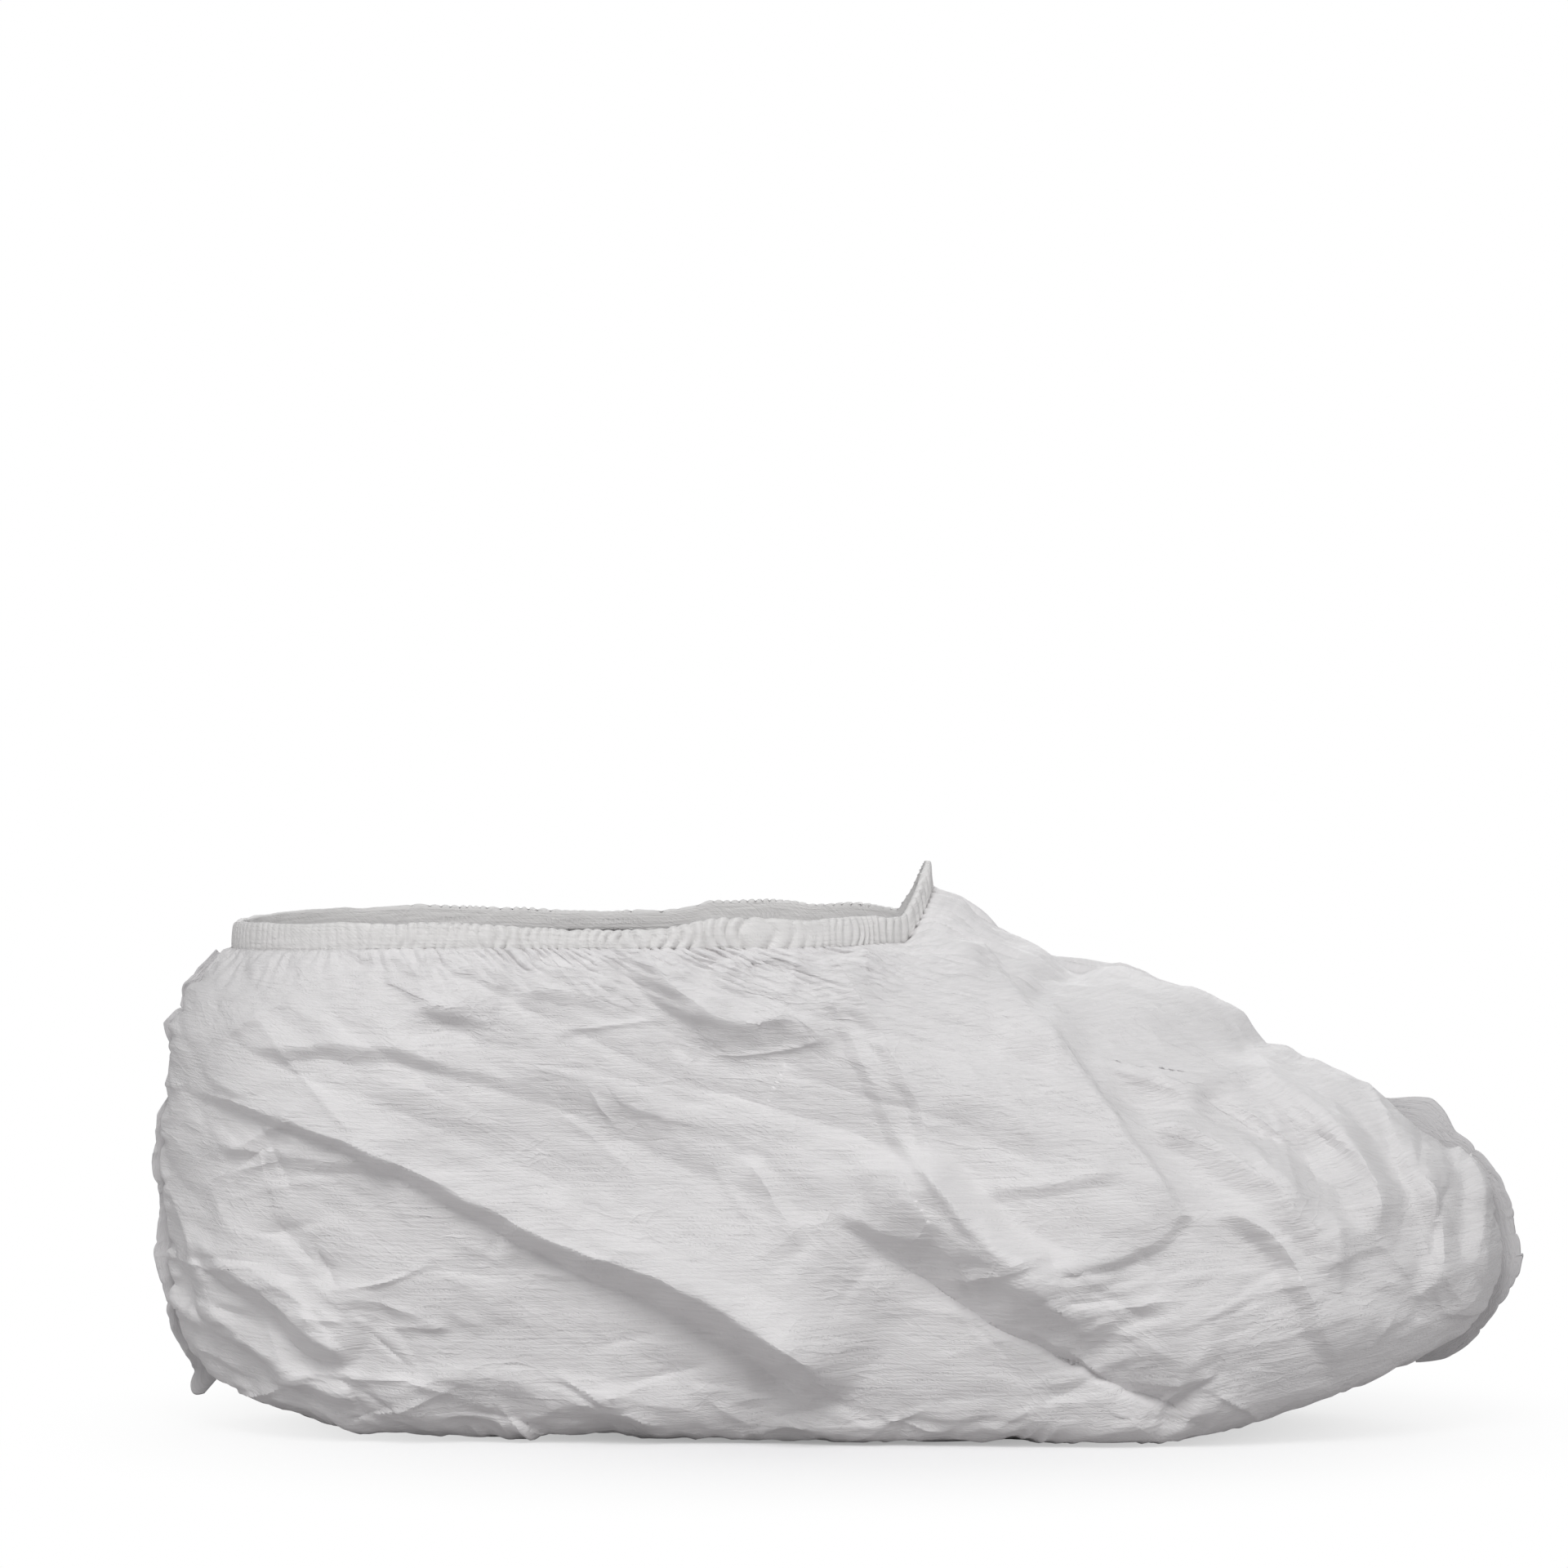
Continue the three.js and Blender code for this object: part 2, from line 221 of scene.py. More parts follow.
@dataclass(frozen=True)
class BodyLevel:
    """One line round a side of the cover, from the heel seam to the toe seam, in millimetres.

    Attributes:
        level: Its place between the sole seam, 0, and the hem, 1.
        heel_x: The line's end at the heel seam.
        heel_z: Its height there.
        heel_from: Where it leaves side_z on the way to the heel.
        side_z: Its height along the side.
        toe_x: The line's end at the toe seam.
        toe_z: Its height there.
        toe_from: Where it leaves side_z on the way to the toe.
        heel_half: Half the cover's width behind the waist.
        ball_half: Half its width before the waist.
        heel_round: The length over which it closes in to the heel seam.
        toe_round: The length over which it closes in to the toe seam.
    """

    level: float
    heel_x: float
    heel_z: float
    heel_from: float
    side_z: float
    toe_x: float
    toe_z: float
    toe_from: float
    heel_half: float
    ball_half: float
    heel_round: float
    toe_round: float


@dataclass(frozen=True)
class CoverForm:
    """The cover's smooth form, without folds.

    It follows the CAD solids, and differs from them by a millimetre or two in these ways. It stands further
    back along the upper heel seam, and a little lower at the top of the toe. Its upper edge is higher along
    the side, and turns up later and more steeply at the front. Its seam lines are puckered and lie in a
    shallow groove.

    Attributes:
        levels: The lines round a side, from the sole seam to the hem.
        waist: Between these two places its width changes from that of the heel to that of the ball.
        rounding: How full its ends are. A half makes them elliptic.
        heel_lift: How late a line rises or drops towards the heel.
        toe_lift: How late it does so towards the toe.
        sole_edge: The level where the sole turns into the wall.
        seam_y: Half the gap between the two panels along a seam.
        heel_puckers: How far the heel seam stands out, in millimetres, at levels from the sole to the hem.
        toe_puckers: The same for the toe seam.
        pucker_reach: How far the puckers run into the panel.
        groove: How deep the cloth dips beside a seam, and how far it does so.
        groove_end: Between these two levels the groove fades towards the hem.
    """

    levels: tuple[BodyLevel, ...] = (
        BodyLevel(0.0, -120, 0.6, -100, 0, 114, 10.2, 72, 0, 0, 50, 60),
        BodyLevel(0.19, -136, 4.2, -106, 0, 133, 15.5, 74, 33, 45, 48, 76),
        BodyLevel(0.27, -148, 12, -108, 5, 146, 22, 66, 41, 54, 54, 84),
        BodyLevel(0.4, -154, 30, -90, 24, 154, 36, 40, 46, 57.5, 60, 90),
        BodyLevel(0.56, -156, 54, -90, 50, 151, 54, 40, 48, 56, 62, 94),
        BodyLevel(0.68, -157, 74, -90, 70, 134.5, 69, 30, 49, 52.5, 62, 98),
        BodyLevel(0.78, -156.5, 89, -90, 85, 104.5, 85.5, 20, 50, 50, 62, 96),
        BodyLevel(0.87, -153, 100, -90, 97, 80, 102, 10, 50, 48.5, 62, 90),
        BodyLevel(0.94, -147, 106, -90, 105.8, 50, 109.5, 13, 49.5, 47.5, 60, 70),
        BodyLevel(1.0, -141.5, 111.5, -90, 113.6, 22, 125.5, 15.5, 48.5, 45, 58, 44),
    )
    waist: tuple[float, float] = (-70.0, 70.0)
    rounding: float = 0.56
    heel_lift: float = 1.6
    toe_lift: float = 1.35
    sole_edge: float = 0.19
    seam_y: float = 0.04
    heel_puckers: tuple[tuple[float, float], ...] = (
        (0.2, 0.0), (0.293, -0.3), (0.352, 1.2), (0.388, 0.2), (0.47, 2.2), (0.56, 1.6), (0.604, 2.9),
        (0.665, 1.0), (0.697, -2.0), (0.787, -0.8), (0.812, 1.6), (0.846, -1.3), (0.9, 0.4), (1.0, 0.0),
    )
    toe_puckers: tuple[tuple[float, float], ...] = (
        (0.2, 0.0), (0.6, 0.0), (0.737, 0.4), (0.762, 2.3), (0.78, 3.1), (0.796, 1.0), (0.825, 3.6),
        (0.85, 2.6), (0.88, 0.6), (0.905, 1.6), (0.93, 0.2), (1.0, 0.0),
    )
    pucker_reach: float = 9.0
    groove: tuple[float, float] = (1.6, 2.4)
    groove_end: tuple[float, float] = (0.86, 0.97)

    # the cloth's length from the sole seam to the hem, and the height of the seams' smallest puckers
    CLOTH_UP = 190.0
    SMALL_PUCKER = 0.55

    def column(self, name: str, level: Points) -> Points:
        """A column of the table at an array of levels, on a curve that never passes beyond its rows."""
        knots = np.array([row.level for row in self.levels], float)
        values = np.array([getattr(row, name) for row in self.levels], float)
        rise = np.diff(values) / np.diff(knots)
        slope = np.zeros(len(knots))
        before, after = rise[:-1], rise[1:]
        same = before * after > 0
        slope[1:-1][same] = 2.0 * (before * after)[same] / (before + after)[same]
        low = np.clip(np.searchsorted(knots, level, side="left") - 1, 0, len(knots) - 2)
        span = knots[low + 1] - knots[low]
        share = (level - knots[low]) / span
        square, cube = share**2, share**3
        return (
            (2 * cube - 3 * square + 1) * values[low]
            + (cube - 2 * square + share) * span * slope[low]
            + (3 * square - 2 * cube) * values[low + 1]
            + (cube - square) * span * slope[low + 1]
        )

    def pucker(self, end: SeamEnd, level: Points) -> Points:
        """How far the gathered seam line stands in or out at an array of levels."""
        table = self.heel_puckers if end is SeamEnd.HEEL else self.toe_puckers
        small = np.abs(ValueNoise(11 + end.value, (3.6, 1.0)).along(self.CLOTH_UP * level)) - 0.5
        small = self.SMALL_PUCKER * small * ease(0.2, 0.3, level) * (1.0 - ease(0.93, 1.0, level))
        return np.interp(level, *zip(*table)) + small

    def points(self, side: Side, station: Points, level: Points) -> Points:
        """The form of one side.

        Args:
            side: Which side.
            station: Places between the heel seam, 0, and the toe seam, 1.
            level: Places between the sole seam, 0, and the hem, 1.

        Returns:
            A grid of points in millimetres, stations by levels.
        """
        names = [name for name in BodyLevel.__dataclass_fields__ if name != "level"]
        at = {name: self.column(name, level)[None, :] for name in names}
        turn = (1.0 - np.cos(math.pi * station))[:, None] / 2.0
        x = at["heel_x"] + (at["toe_x"] - at["heel_x"]) * turn
        half = self._half_width(at, x)
        z = self._height(at, x)
        for end, part in ((SeamEnd.HEEL, turn < 0.5), (SeamEnd.TOE, turn >= 0.5)):
            push = self._push(end, level, half) * part
            run_x, run_z = self._seam_direction(end, level)
            x, z = x + push * run_z[None, :], z - push * run_x[None, :]
        return np.stack([x, side.value * np.maximum(half, self.seam_y), z], -1)

    def _half_width(self, at: dict[str, Points], x: Points) -> Points:
        """Half the cover's width at places along its levels, closed in at both ends."""

        def closing(share: Points) -> Points:
            """A round end, from 0 at the seam to 1."""
            return np.maximum(0.0, 1.0 - (1.0 - np.clip(share, 0.0, 1.0)) ** 2) ** self.rounding

        half = at["heel_half"] + (at["ball_half"] - at["heel_half"]) * ease(*self.waist, x)
        heel = closing((x - at["heel_x"]) / at["heel_round"])
        return half * heel * closing((at["toe_x"] - x) / at["toe_round"])

    def _height(self, at: dict[str, Points], x: Points) -> Points:
        """The height of places along the levels."""
        to_heel = np.clip((at["heel_from"] - x) / (at["heel_from"] - at["heel_x"]), 0.0, 1.0)
        to_toe = np.clip((x - at["toe_from"]) / (at["toe_x"] - at["toe_from"]), 0.0, 1.0)
        z = at["side_z"] + (at["heel_z"] - at["side_z"]) * to_heel**self.heel_lift
        return z + (at["toe_z"] - at["side_z"]) * to_toe**self.toe_lift

    def _push(self, end: SeamEnd, level: Points, half: Points) -> Points:
        """How far the puckers and the groove move the cloth near a seam, positive towards the toe."""
        depth, reach = self.groove
        sunk = depth * (1.0 - ease(*self.groove_end, level)) * np.exp(-((half / reach) ** 2))
        push = self.pucker(end, level)[None, :] * np.exp(-half / self.pucker_reach) - sunk
        return push * (1.0 if end is SeamEnd.TOE else -1.0)

    def _seam_direction(self, end: SeamEnd, level: Points) -> tuple[Points, Points]:
        """The unit direction, x and z, in which a seam line runs at an array of levels."""
        more = np.append(level, level[-1] + 1e-3)
        name = end.name.lower()
        run_x, run_z = (np.gradient(self.column(f"{name}_{axis}", more))[:-1] for axis in "xz")
        size = np.hypot(run_x, run_z) + 1e-9
        return run_x / size, run_z / size

    def even_stations(self, count: int) -> Points:
        """Stations that lie evenly along the side's middle line."""
        fine = np.linspace(0.0, 1.0, 600)
        run = run_along(self.points(Side.FAR, fine, np.array([0.5, 0.8])).mean(1))
        return np.interp(np.linspace(0.0, run[-1], count), run, fine)

    def even_levels(self, sole_rows: int, wall_rows: int) -> Points:
        """Levels that lie evenly up the wall, with the sole's own rows before them."""
        fine = np.linspace(self.sole_edge, 1.0, 400)
        run = run_along(self.points(Side.FAR, np.array([0.35]), fine)[0])
        wall = np.interp(np.linspace(0.0, run[-1], wall_rows + 1), run, fine)
        return np.concatenate([np.linspace(0.0, self.sole_edge, sole_rows + 1)[:-1], wall])


# --------------------------------------------------------------------------------------------------------
# Folds
# --------------------------------------------------------------------------------------------------------


@dataclass(frozen=True)
class Fold:
    """One fold of a panel, along a curve of the side view.

    Attributes:
        name: What it is on the cover.
        kind: How the cloth runs across it.
        path: Points of its crest, x and z in millimetres, from its start to its end.
        height: How far it stands proud, or below the form where it is negative.
        above: The width of its upper flank.
        below: The width of its lower flank.
        lean: How far its crest hangs over the lower flank.
        start_fade: The share of its length over which it grows.
        end_fade: The share of its length over which it fades.
        widen: How many times larger it is at its end than at its start.
    """

    name: str
    kind: FoldKind
    path: tuple[tuple[float, float], ...]
    height: float
    above: float
    below: float
    lean: float = 0.0
    start_fade: float = 0.16
    end_fade: float = 0.16
    widen: float = 1.0

    # the trough at the foot of a steep flank, as a share of the height, and its width in flanks
    TROUGH = 0.3
    TROUGH_END = 3.2
    # the distance, in millimetres, over which the cloth is drawn onto a sharp crest
    DRAW = 0.7
    # the number of steps of the fine line between two points of the path
    SAMPLES = 4
    # how far a fold reaches, in widths of its wider flank, and the shortest length over which it fades
    REACH = 3.5
    SHORTEST_FADE = 6.0

    def crest(self) -> Points:
        """The crest as a fine line of points through those of the path."""
        knots = np.array(self.path, float)
        padded = np.vstack([2 * knots[0] - knots[1], knots, 2 * knots[-1] - knots[-2]])
        share = np.linspace(0.0, 1.0, self.SAMPLES, endpoint=False)[:, None]
        line = []
        for a, b, c, d in zip(padded, padded[1:], padded[2:], padded[3:]):
            bend = (2 * a - 5 * b + 4 * c - d) * share**2
            line.append(0.5 * (2 * b + (c - a) * share + bend + (3 * b - a - 3 * c + d) * share**3))
        return np.vstack([*line, knots[-1:]])

    def across(self, x: Points, z: Points) -> tuple[Points, Points, Points]:
        """Where places of the side view lie against the crest.

        Args:
            x: Their places along the cover.
            z: Their heights.

        Returns:
            The distance upwards from it, the share of the way along it, and the direction to its lower side.
        """
        line = self.crest()
        start, step = line[:-1], np.diff(line, axis=0)
        run = run_along(line)
        place = np.stack([x, z], -1)[..., None, :]
        share = np.clip(((place - start) * step).sum(-1) / (step**2).sum(-1), 0.0, 1.0)
        offset = place - start - share[..., None] * step
        distance = lengths(offset)
        nearest = distance.argmin(-1)

        def pick(values: Points) -> Points:
            """The value for the nearest stretch of the crest."""
            return np.take_along_axis(values, nearest[..., None], -1)[..., 0]

        cross = step[:, 0] * offset[..., 1] - step[:, 1] * offset[..., 0]
        along = (run[nearest] + pick(share) * lengths(step)[nearest]) / run[-1]
        unit = (step / lengths(step)[:, None])[nearest]
        return pick(distance) * np.sign(pick(cross)), along, np.stack([unit[..., 1], -unit[..., 0]], -1)

    @staticmethod
    def bounded(away: Points, limit: float, radius: float) -> Points:
        """A distance that stops growing at a limit, with a round corner there."""
        return (away + limit - np.sqrt((away - limit) ** 2 + radius**2)) / 2.0

    def close_by(self, x: Points, z: Points, reach: float) -> tuple[Points, Points, Points, Points, Points]:
        """The places of the side view within a reach of the fold.

        Args:
            x: Places along the cover.
            z: Their heights.
            reach: How far from the fold's path they may lie, in millimetres.

        Returns:
            Which places they are, what across() says of them, and how much of the fold they get, from 0 to 1.
        """
        path = np.array(self.path, float)
        (x0, z0), (x1, z1) = path.min(0) - reach, path.max(0) + reach
        near = (x > x0) & (x < x1) & (z > z0) & (z < z1)
        offset, along, downhill = self.across(x[near], z[near])
        least = self.SHORTEST_FADE / lengths(np.diff(path, axis=0)).sum()
        fade = clear_of_ends(along, max(self.start_fade, least), max(self.end_fade, least))
        return near, offset, along, downhill, fade

    def draw(self, x: Points, z: Points) -> Points:
        """The slide, x and z, that brings the places beside a sharp crest onto it, for a clean line."""
        slide = np.zeros((*x.shape, 2))
        if self.kind is not FoldKind.SOFT:
            near, offset, _, downhill, fade = self.close_by(x, z, 3.0 * self.DRAW)
            slide[near] = downhill * (offset * np.exp(-((offset / self.DRAW) ** 2)) * fade)[..., None]
        return slide

    def shift(self, x: Points, z: Points) -> tuple[Points, Points]:
        """How the fold moves places of the side view.

        Args:
            x: Their places along the cover.
            z: Their heights.

        Returns:
            The lift out of the form, and the slide within it, x and z, all in millimetres.
        """
        wide, narrow = max(self.above, self.below), min(self.above, self.below)
        near, offset, along, downhill, fade = self.close_by(x, z, self.REACH * wide)
        growth = self.widen**along
        radius, narrow = self.kind.value, narrow * growth
        away = np.sqrt(offset**2 + radius**2) - radius
        trough = 0.0 if self.kind is FoldKind.CREASE else self.TROUGH
        drop = self.bounded(away, narrow, radius)
        steep = 1.0 - (1.0 + trough) * drop / narrow
        back = self.bounded(away, self.TROUGH_END * narrow, 2.0 * radius) - drop
        steep = steep + trough * back / ((self.TROUGH_END - 1.0) * narrow)
        slow = np.exp(-away / wide) * (1.0 - ease(0.6 * self.REACH, self.REACH, away / wide))
        gentle = (offset > 0) == (self.above > self.below)
        lift, slide = np.zeros(x.shape), np.zeros((*x.shape, 2))
        lift[near] = self.height * growth * fade * np.where(gentle, slow, steep)
        slide[near] = downhill * (self.lean * growth * fade * np.exp(-((offset / wide) ** 2)))[..., None]
        return lift, slide


@dataclass(frozen=True)
class FlatFlap:
    """A stretch of the cloth that lies flat and proud of the rest, with its corners in the side view.

    Attributes:
        name: What it is on the cover.
        corners: Its outline, x and z in millimetres, in order.
        height: How far it stands proud.
        edge: The width over which it drops to the cloth round it.
    """

    name: str
    corners: tuple[tuple[float, float], ...]
    height: float
    edge: float

    def draw(self, x: Points, z: Points) -> Points:
        """The flap has no sharp crest, so it slides nothing."""
        return np.zeros((*x.shape, 2))

    def shift(self, x: Points, z: Points) -> tuple[Points, Points]:
        """How the flap moves places of the side view: its lift, and no slide."""
        corners = np.array(self.corners, float)
        place = np.stack([x, z], -1)
        nearest = np.full(x.shape, np.inf)
        inside = np.zeros(x.shape, bool)
        for a, b in zip(corners, np.roll(corners, -1, axis=0)):
            step = b - a
            share = np.clip(((place - a) @ step) / (step @ step), 0.0, 1.0)
            nearest = np.minimum(nearest, lengths(place - a - share[..., None] * step))
            spans = (a[1] > z) != (b[1] > z)
            inside ^= spans & (x < a[0] + (z - a[1]) * step[0] / (step[1] if step[1] else 1e-9))
        depth = np.where(inside, nearest, -nearest)
        return self.height * ease(-self.edge / 2, self.edge / 2, depth), np.zeros((*x.shape, 2))


@dataclass(frozen=True)
class CreaseField:
    """A patch of fine loose creases, as handling and stretching leave them in crisp cloth.

    Attributes:
        name: Where it is on the cover.
        middle: Its middle in the side view, x and z in millimetres.
        reach: Its half sizes, along x and z.
        count: How many creases it has.
        angle: Their usual angle above the horizontal, in degrees.
        spread: How far their angles differ from it.
        length: Their usual length.
        height: How high they stand. Every third one is a valley.
        width: The widest of their flanks.
    """

    name: str
    middle: tuple[float, float]
    reach: tuple[float, float]
    count: int
    angle: float
    spread: float
    length: float
    height: float
    width: float = 1.8

    # the narrowest flank in millimetres, and the strongest bow of a crease
    NARROWEST = 0.4
    BOW = 0.12
    # how many times wider a crease's upper flank is, and how round its ridge is
    GENTLE = 2.2
    ROUND = 0.2

    def lift(self, x: Points, z: Points, seed: int) -> Points:
        """How far the creases lift places of the side view.

        Args:
            x: Their places along the cover.
            z: Their heights.
            seed: Which of the random patterns.

        Returns:
            The lift in millimetres, a value for each place.
        """
        rng = np.random.default_rng([seed, self.count, round(self.length), round(abs(self.middle[0]))])
        margin = np.array(self.reach) + self.length
        near = (np.abs(x - self.middle[0]) < margin[0]) & (np.abs(z - self.middle[1]) < margin[1])
        x, z = x[near], z[near]
        total = np.zeros(x.shape)
        for number in range(self.count):
            start = np.array(self.middle) + rng.uniform(-1.0, 1.0, 2) * self.reach
            angle = math.radians(self.angle + self.spread * rng.normal())
            half = self.length * rng.uniform(0.3, 0.9)
            bow = rng.uniform(-self.BOW, self.BOW) / half
            height = self.height * rng.uniform(0.4, 1.3) * (-1.0 if number % 3 == 0 else 1.0)
            width = rng.uniform(self.NARROWEST, self.width)
            along = (x - start[0]) * math.cos(angle) + (z - start[1]) * math.sin(angle)
            across = (z - start[1]) * math.cos(angle) - (x - start[0]) * math.sin(angle) - bow * along**2
            slope = np.where(across > 0, width * self.GENTLE, width)
            profile = np.exp(-(np.sqrt(across**2 + self.ROUND**2) - self.ROUND) / slope)
            total += height * profile * np.clip(1.0 - (along / half) ** 2, 0.0, 1.0) ** 0.8
        lift = np.zeros(near.shape)
        lift[near] = total
        return lift


# --------------------------------------------------------------------------------------------------------
# The cloth
# --------------------------------------------------------------------------------------------------------


@dataclass
class PaperRelaxation:
    """Lets a sheet with spare cloth buckle into creases, while it keeps the large form that it was given.

    Attributes:
        rounds: How many times every thread of the cloth is set to its length.
        stiffness: How strongly a thread resists being short.
        bending: How strongly the cloth resists a sharp bend.
        memory: How strongly the large form is kept.
        depth: How far the cloth may sink below the form, in millimetres.
    """

    rounds: int = 90
    stiffness: float = 0.85
    bending: float = 0.12
    memory: float = 0.06
    depth: float = 6.0

    # the directions of the threads, and those of the points two steps apart, which resist a sharp bend where
    # they come nearer to each other than this share of their length
    THREADS = ((1, 0), (0, 1), (1, 1), (1, -1))
    BENDS = ((2, 0), (0, 2))
    BEND_SHARE = 0.97

    def settle(
        self, shape: Points, form: Points, normal: Points, spare: tuple[Points, Points], held: Points
    ) -> Points:
        """Relaxes a sheet.

        Args:
            shape: The sheet's points with its large folds.
            form: The same points on the smooth form.
            normal: The form's normals.
            spare: The share of spare cloth along the rows and up the columns, a value for each point.
            held: Where the sheet is sewn down, true or false for each point.

        Returns:
            The relaxed points.
        """
        threads = [(step, self._rest(shape, step, spare)) for step in self.THREADS]
        bends = [(step, self._rest(shape, step, spare) * self.BEND_SHARE) for step in self.BENDS]
        cloth = shape.copy()
        for _ in range(self.rounds):
            for step, rest in threads:
                self._pull(cloth, step, rest, self.stiffness, 1.0)
            for step, rest in bends:
                self._pull(cloth, step, rest, self.bending, 0.0)
            cloth += self.memory * blurred(shape - cloth, 5)
            sunk = np.maximum(0.0, -self.depth - ((cloth - form) * normal).sum(-1))
            cloth += sunk[..., None] * normal
            cloth[..., 2] = np.maximum(cloth[..., 2], 0.0)
            cloth[held] = shape[held]
        return cloth

    @staticmethod
    def _ends(size: int, step: int) -> tuple[slice, slice]:
        """The slices of the first and the second ends of all threads that run so many points on."""
        if step >= 0:
            return slice(0, size - step), slice(step, size)
        return slice(-step, size), slice(0, size + step)

    def _rest(self, shape: Points, step: tuple[int, int], spare: tuple[Points, Points]) -> Points:
        """The lengths, with the spare cloth, of all threads in one direction."""
        (a0, b0), (a1, b1) = (self._ends(size, s) for size, s in zip(shape.shape, step))
        reach = abs(step[0]) + abs(step[1])
        extra = abs(step[0]) / reach * spare[0][a0, a1] + abs(step[1]) / reach * spare[1][a0, a1]
        return lengths(shape[b0, b1] - shape[a0, a1]) * (1.0 + extra)

    def _pull(
        self, cloth: Points, step: tuple[int, int], rest: Points, short: float, long: float
    ) -> None:
        """Moves the ends of each thread towards its length, in groups that share no point.

        Args:
            cloth: The sheet's points, which are moved.
            step: The threads' direction.
            rest: Their lengths.
            short: The share of its error that a thread shorter than its length makes good.
            long: The same for a longer one.
        """
        (a0, b0), (a1, b1) = (self._ends(size, s) for size, s in zip(cloth.shape, step))
        first, second = cloth[a0, a1], cloth[b0, b1]
        period = 2 * max(step)
        for group in range(period):
            every = slice(group, None, period)
            pick = (every,) if step[0] else (slice(None), every)
            a, b = first[pick], second[pick]
            gap = b - a
            size = np.maximum(lengths(gap), 1e-6)
            error = size - rest[pick]
            move = gap * (np.where(error < 0, short, long) * error / size / 2.0)[..., None]
            a += move
            b -= move


@dataclass(frozen=True)
class SheetMesh:
    """A sheet's grid of points, ready to become a mesh.

    Attributes:
        name: The object's name.
        points: The grid of points in millimetres.
        flat: The flat pattern's place of each point, in metres, for the UV map.
        turn: 1 or -1, so that its faces point outwards.
        wall: The cloth's thickness in millimetres, or 0 for a closed shape.
        close: Which ends of the grid meet: its first and last rows, and its first and last columns.
        keep: The share of its triangles that is kept, with the most where the cloth is creased.
    """

    name: str
    points: Points
    flat: Points
    turn: int
    wall: float = 0.0
    close: tuple[bool, bool] = (False, False)
    keep: float = 1.0

    UV_MAP = "flat_pattern"
    # a crease with a larger angle than this stays sharp
    SHARP = math.radians(28.0)

    def build(self) -> bpy.types.Object:
        """Makes the object, with smooth faces, a UV map and, for an open sheet, a Solidify wall."""
        rows, columns = self.points.shape[:2]
        work = bmesh.new()
        bmesh.ops.create_grid(work, x_segments=rows - 1, y_segments=columns - 1, size=1.0)
        work.verts.index_update()
        place = {}
        for vert in work.verts:
            i = round((vert.co.x + 1.0) / 2.0 * (rows - 1))
            j = round((vert.co.y + 1.0) / 2.0 * (columns - 1))
            place[vert.index] = (i, j)
            vert.co = Vector(self.points[i, j]) * MM
        layer = work.loops.layers.uv.new(self.UV_MAP)
        for face in work.faces:
            face.smooth = True
            for loop in face.loops:
                loop[layer].uv = self.flat[place[loop.vert.index]]
        if any(self.close):
            bmesh.ops.remove_doubles(work, verts=work.verts, dist=1e-5)
        if all(self.close):
            bmesh.ops.recalc_face_normals(work, faces=work.faces)
        elif self.turn < 0:
            bmesh.ops.reverse_faces(work, faces=work.faces)
        mesh = bpy.data.meshes.new(self.name)
        work.to_mesh(mesh)
        work.free()
        piece = bpy.data.objects.new(self.name, mesh)
        bpy.context.scene.collection.objects.link(piece)
        if self.keep < 1.0:
            self._thin(piece)
        if self.wall:
            solid = piece.modifiers.new("cloth_wall", "SOLIDIFY")
            solid.thickness = self.wall * MM
            solid.offset = -1.0
        return piece

    def _thin(self, piece: bpy.types.Object) -> None:
        """Takes triangles out of the flat stretches, and leaves the hard creases sharp."""
        fewer = piece.modifiers.new("fewer_triangles", "DECIMATE")
        fewer.ratio = self.keep
        evaluated = piece.evaluated_get(bpy.context.evaluated_depsgraph_get())
        mesh = bpy.data.meshes.new_from_object(evaluated)
        piece.modifiers.remove(fewer)
        work = bmesh.new()
        work.from_mesh(mesh)
        for edge in work.edges:
            edge.smooth = not (len(edge.link_faces) == 2 and edge.calc_face_angle() > self.SHARP)
        work.to_mesh(mesh)
        work.free()
        mesh.name = self.name
        piece.data = mesh


# --------------------------------------------------------------------------------------------------------
# The finishes
# --------------------------------------------------------------------------------------------------------


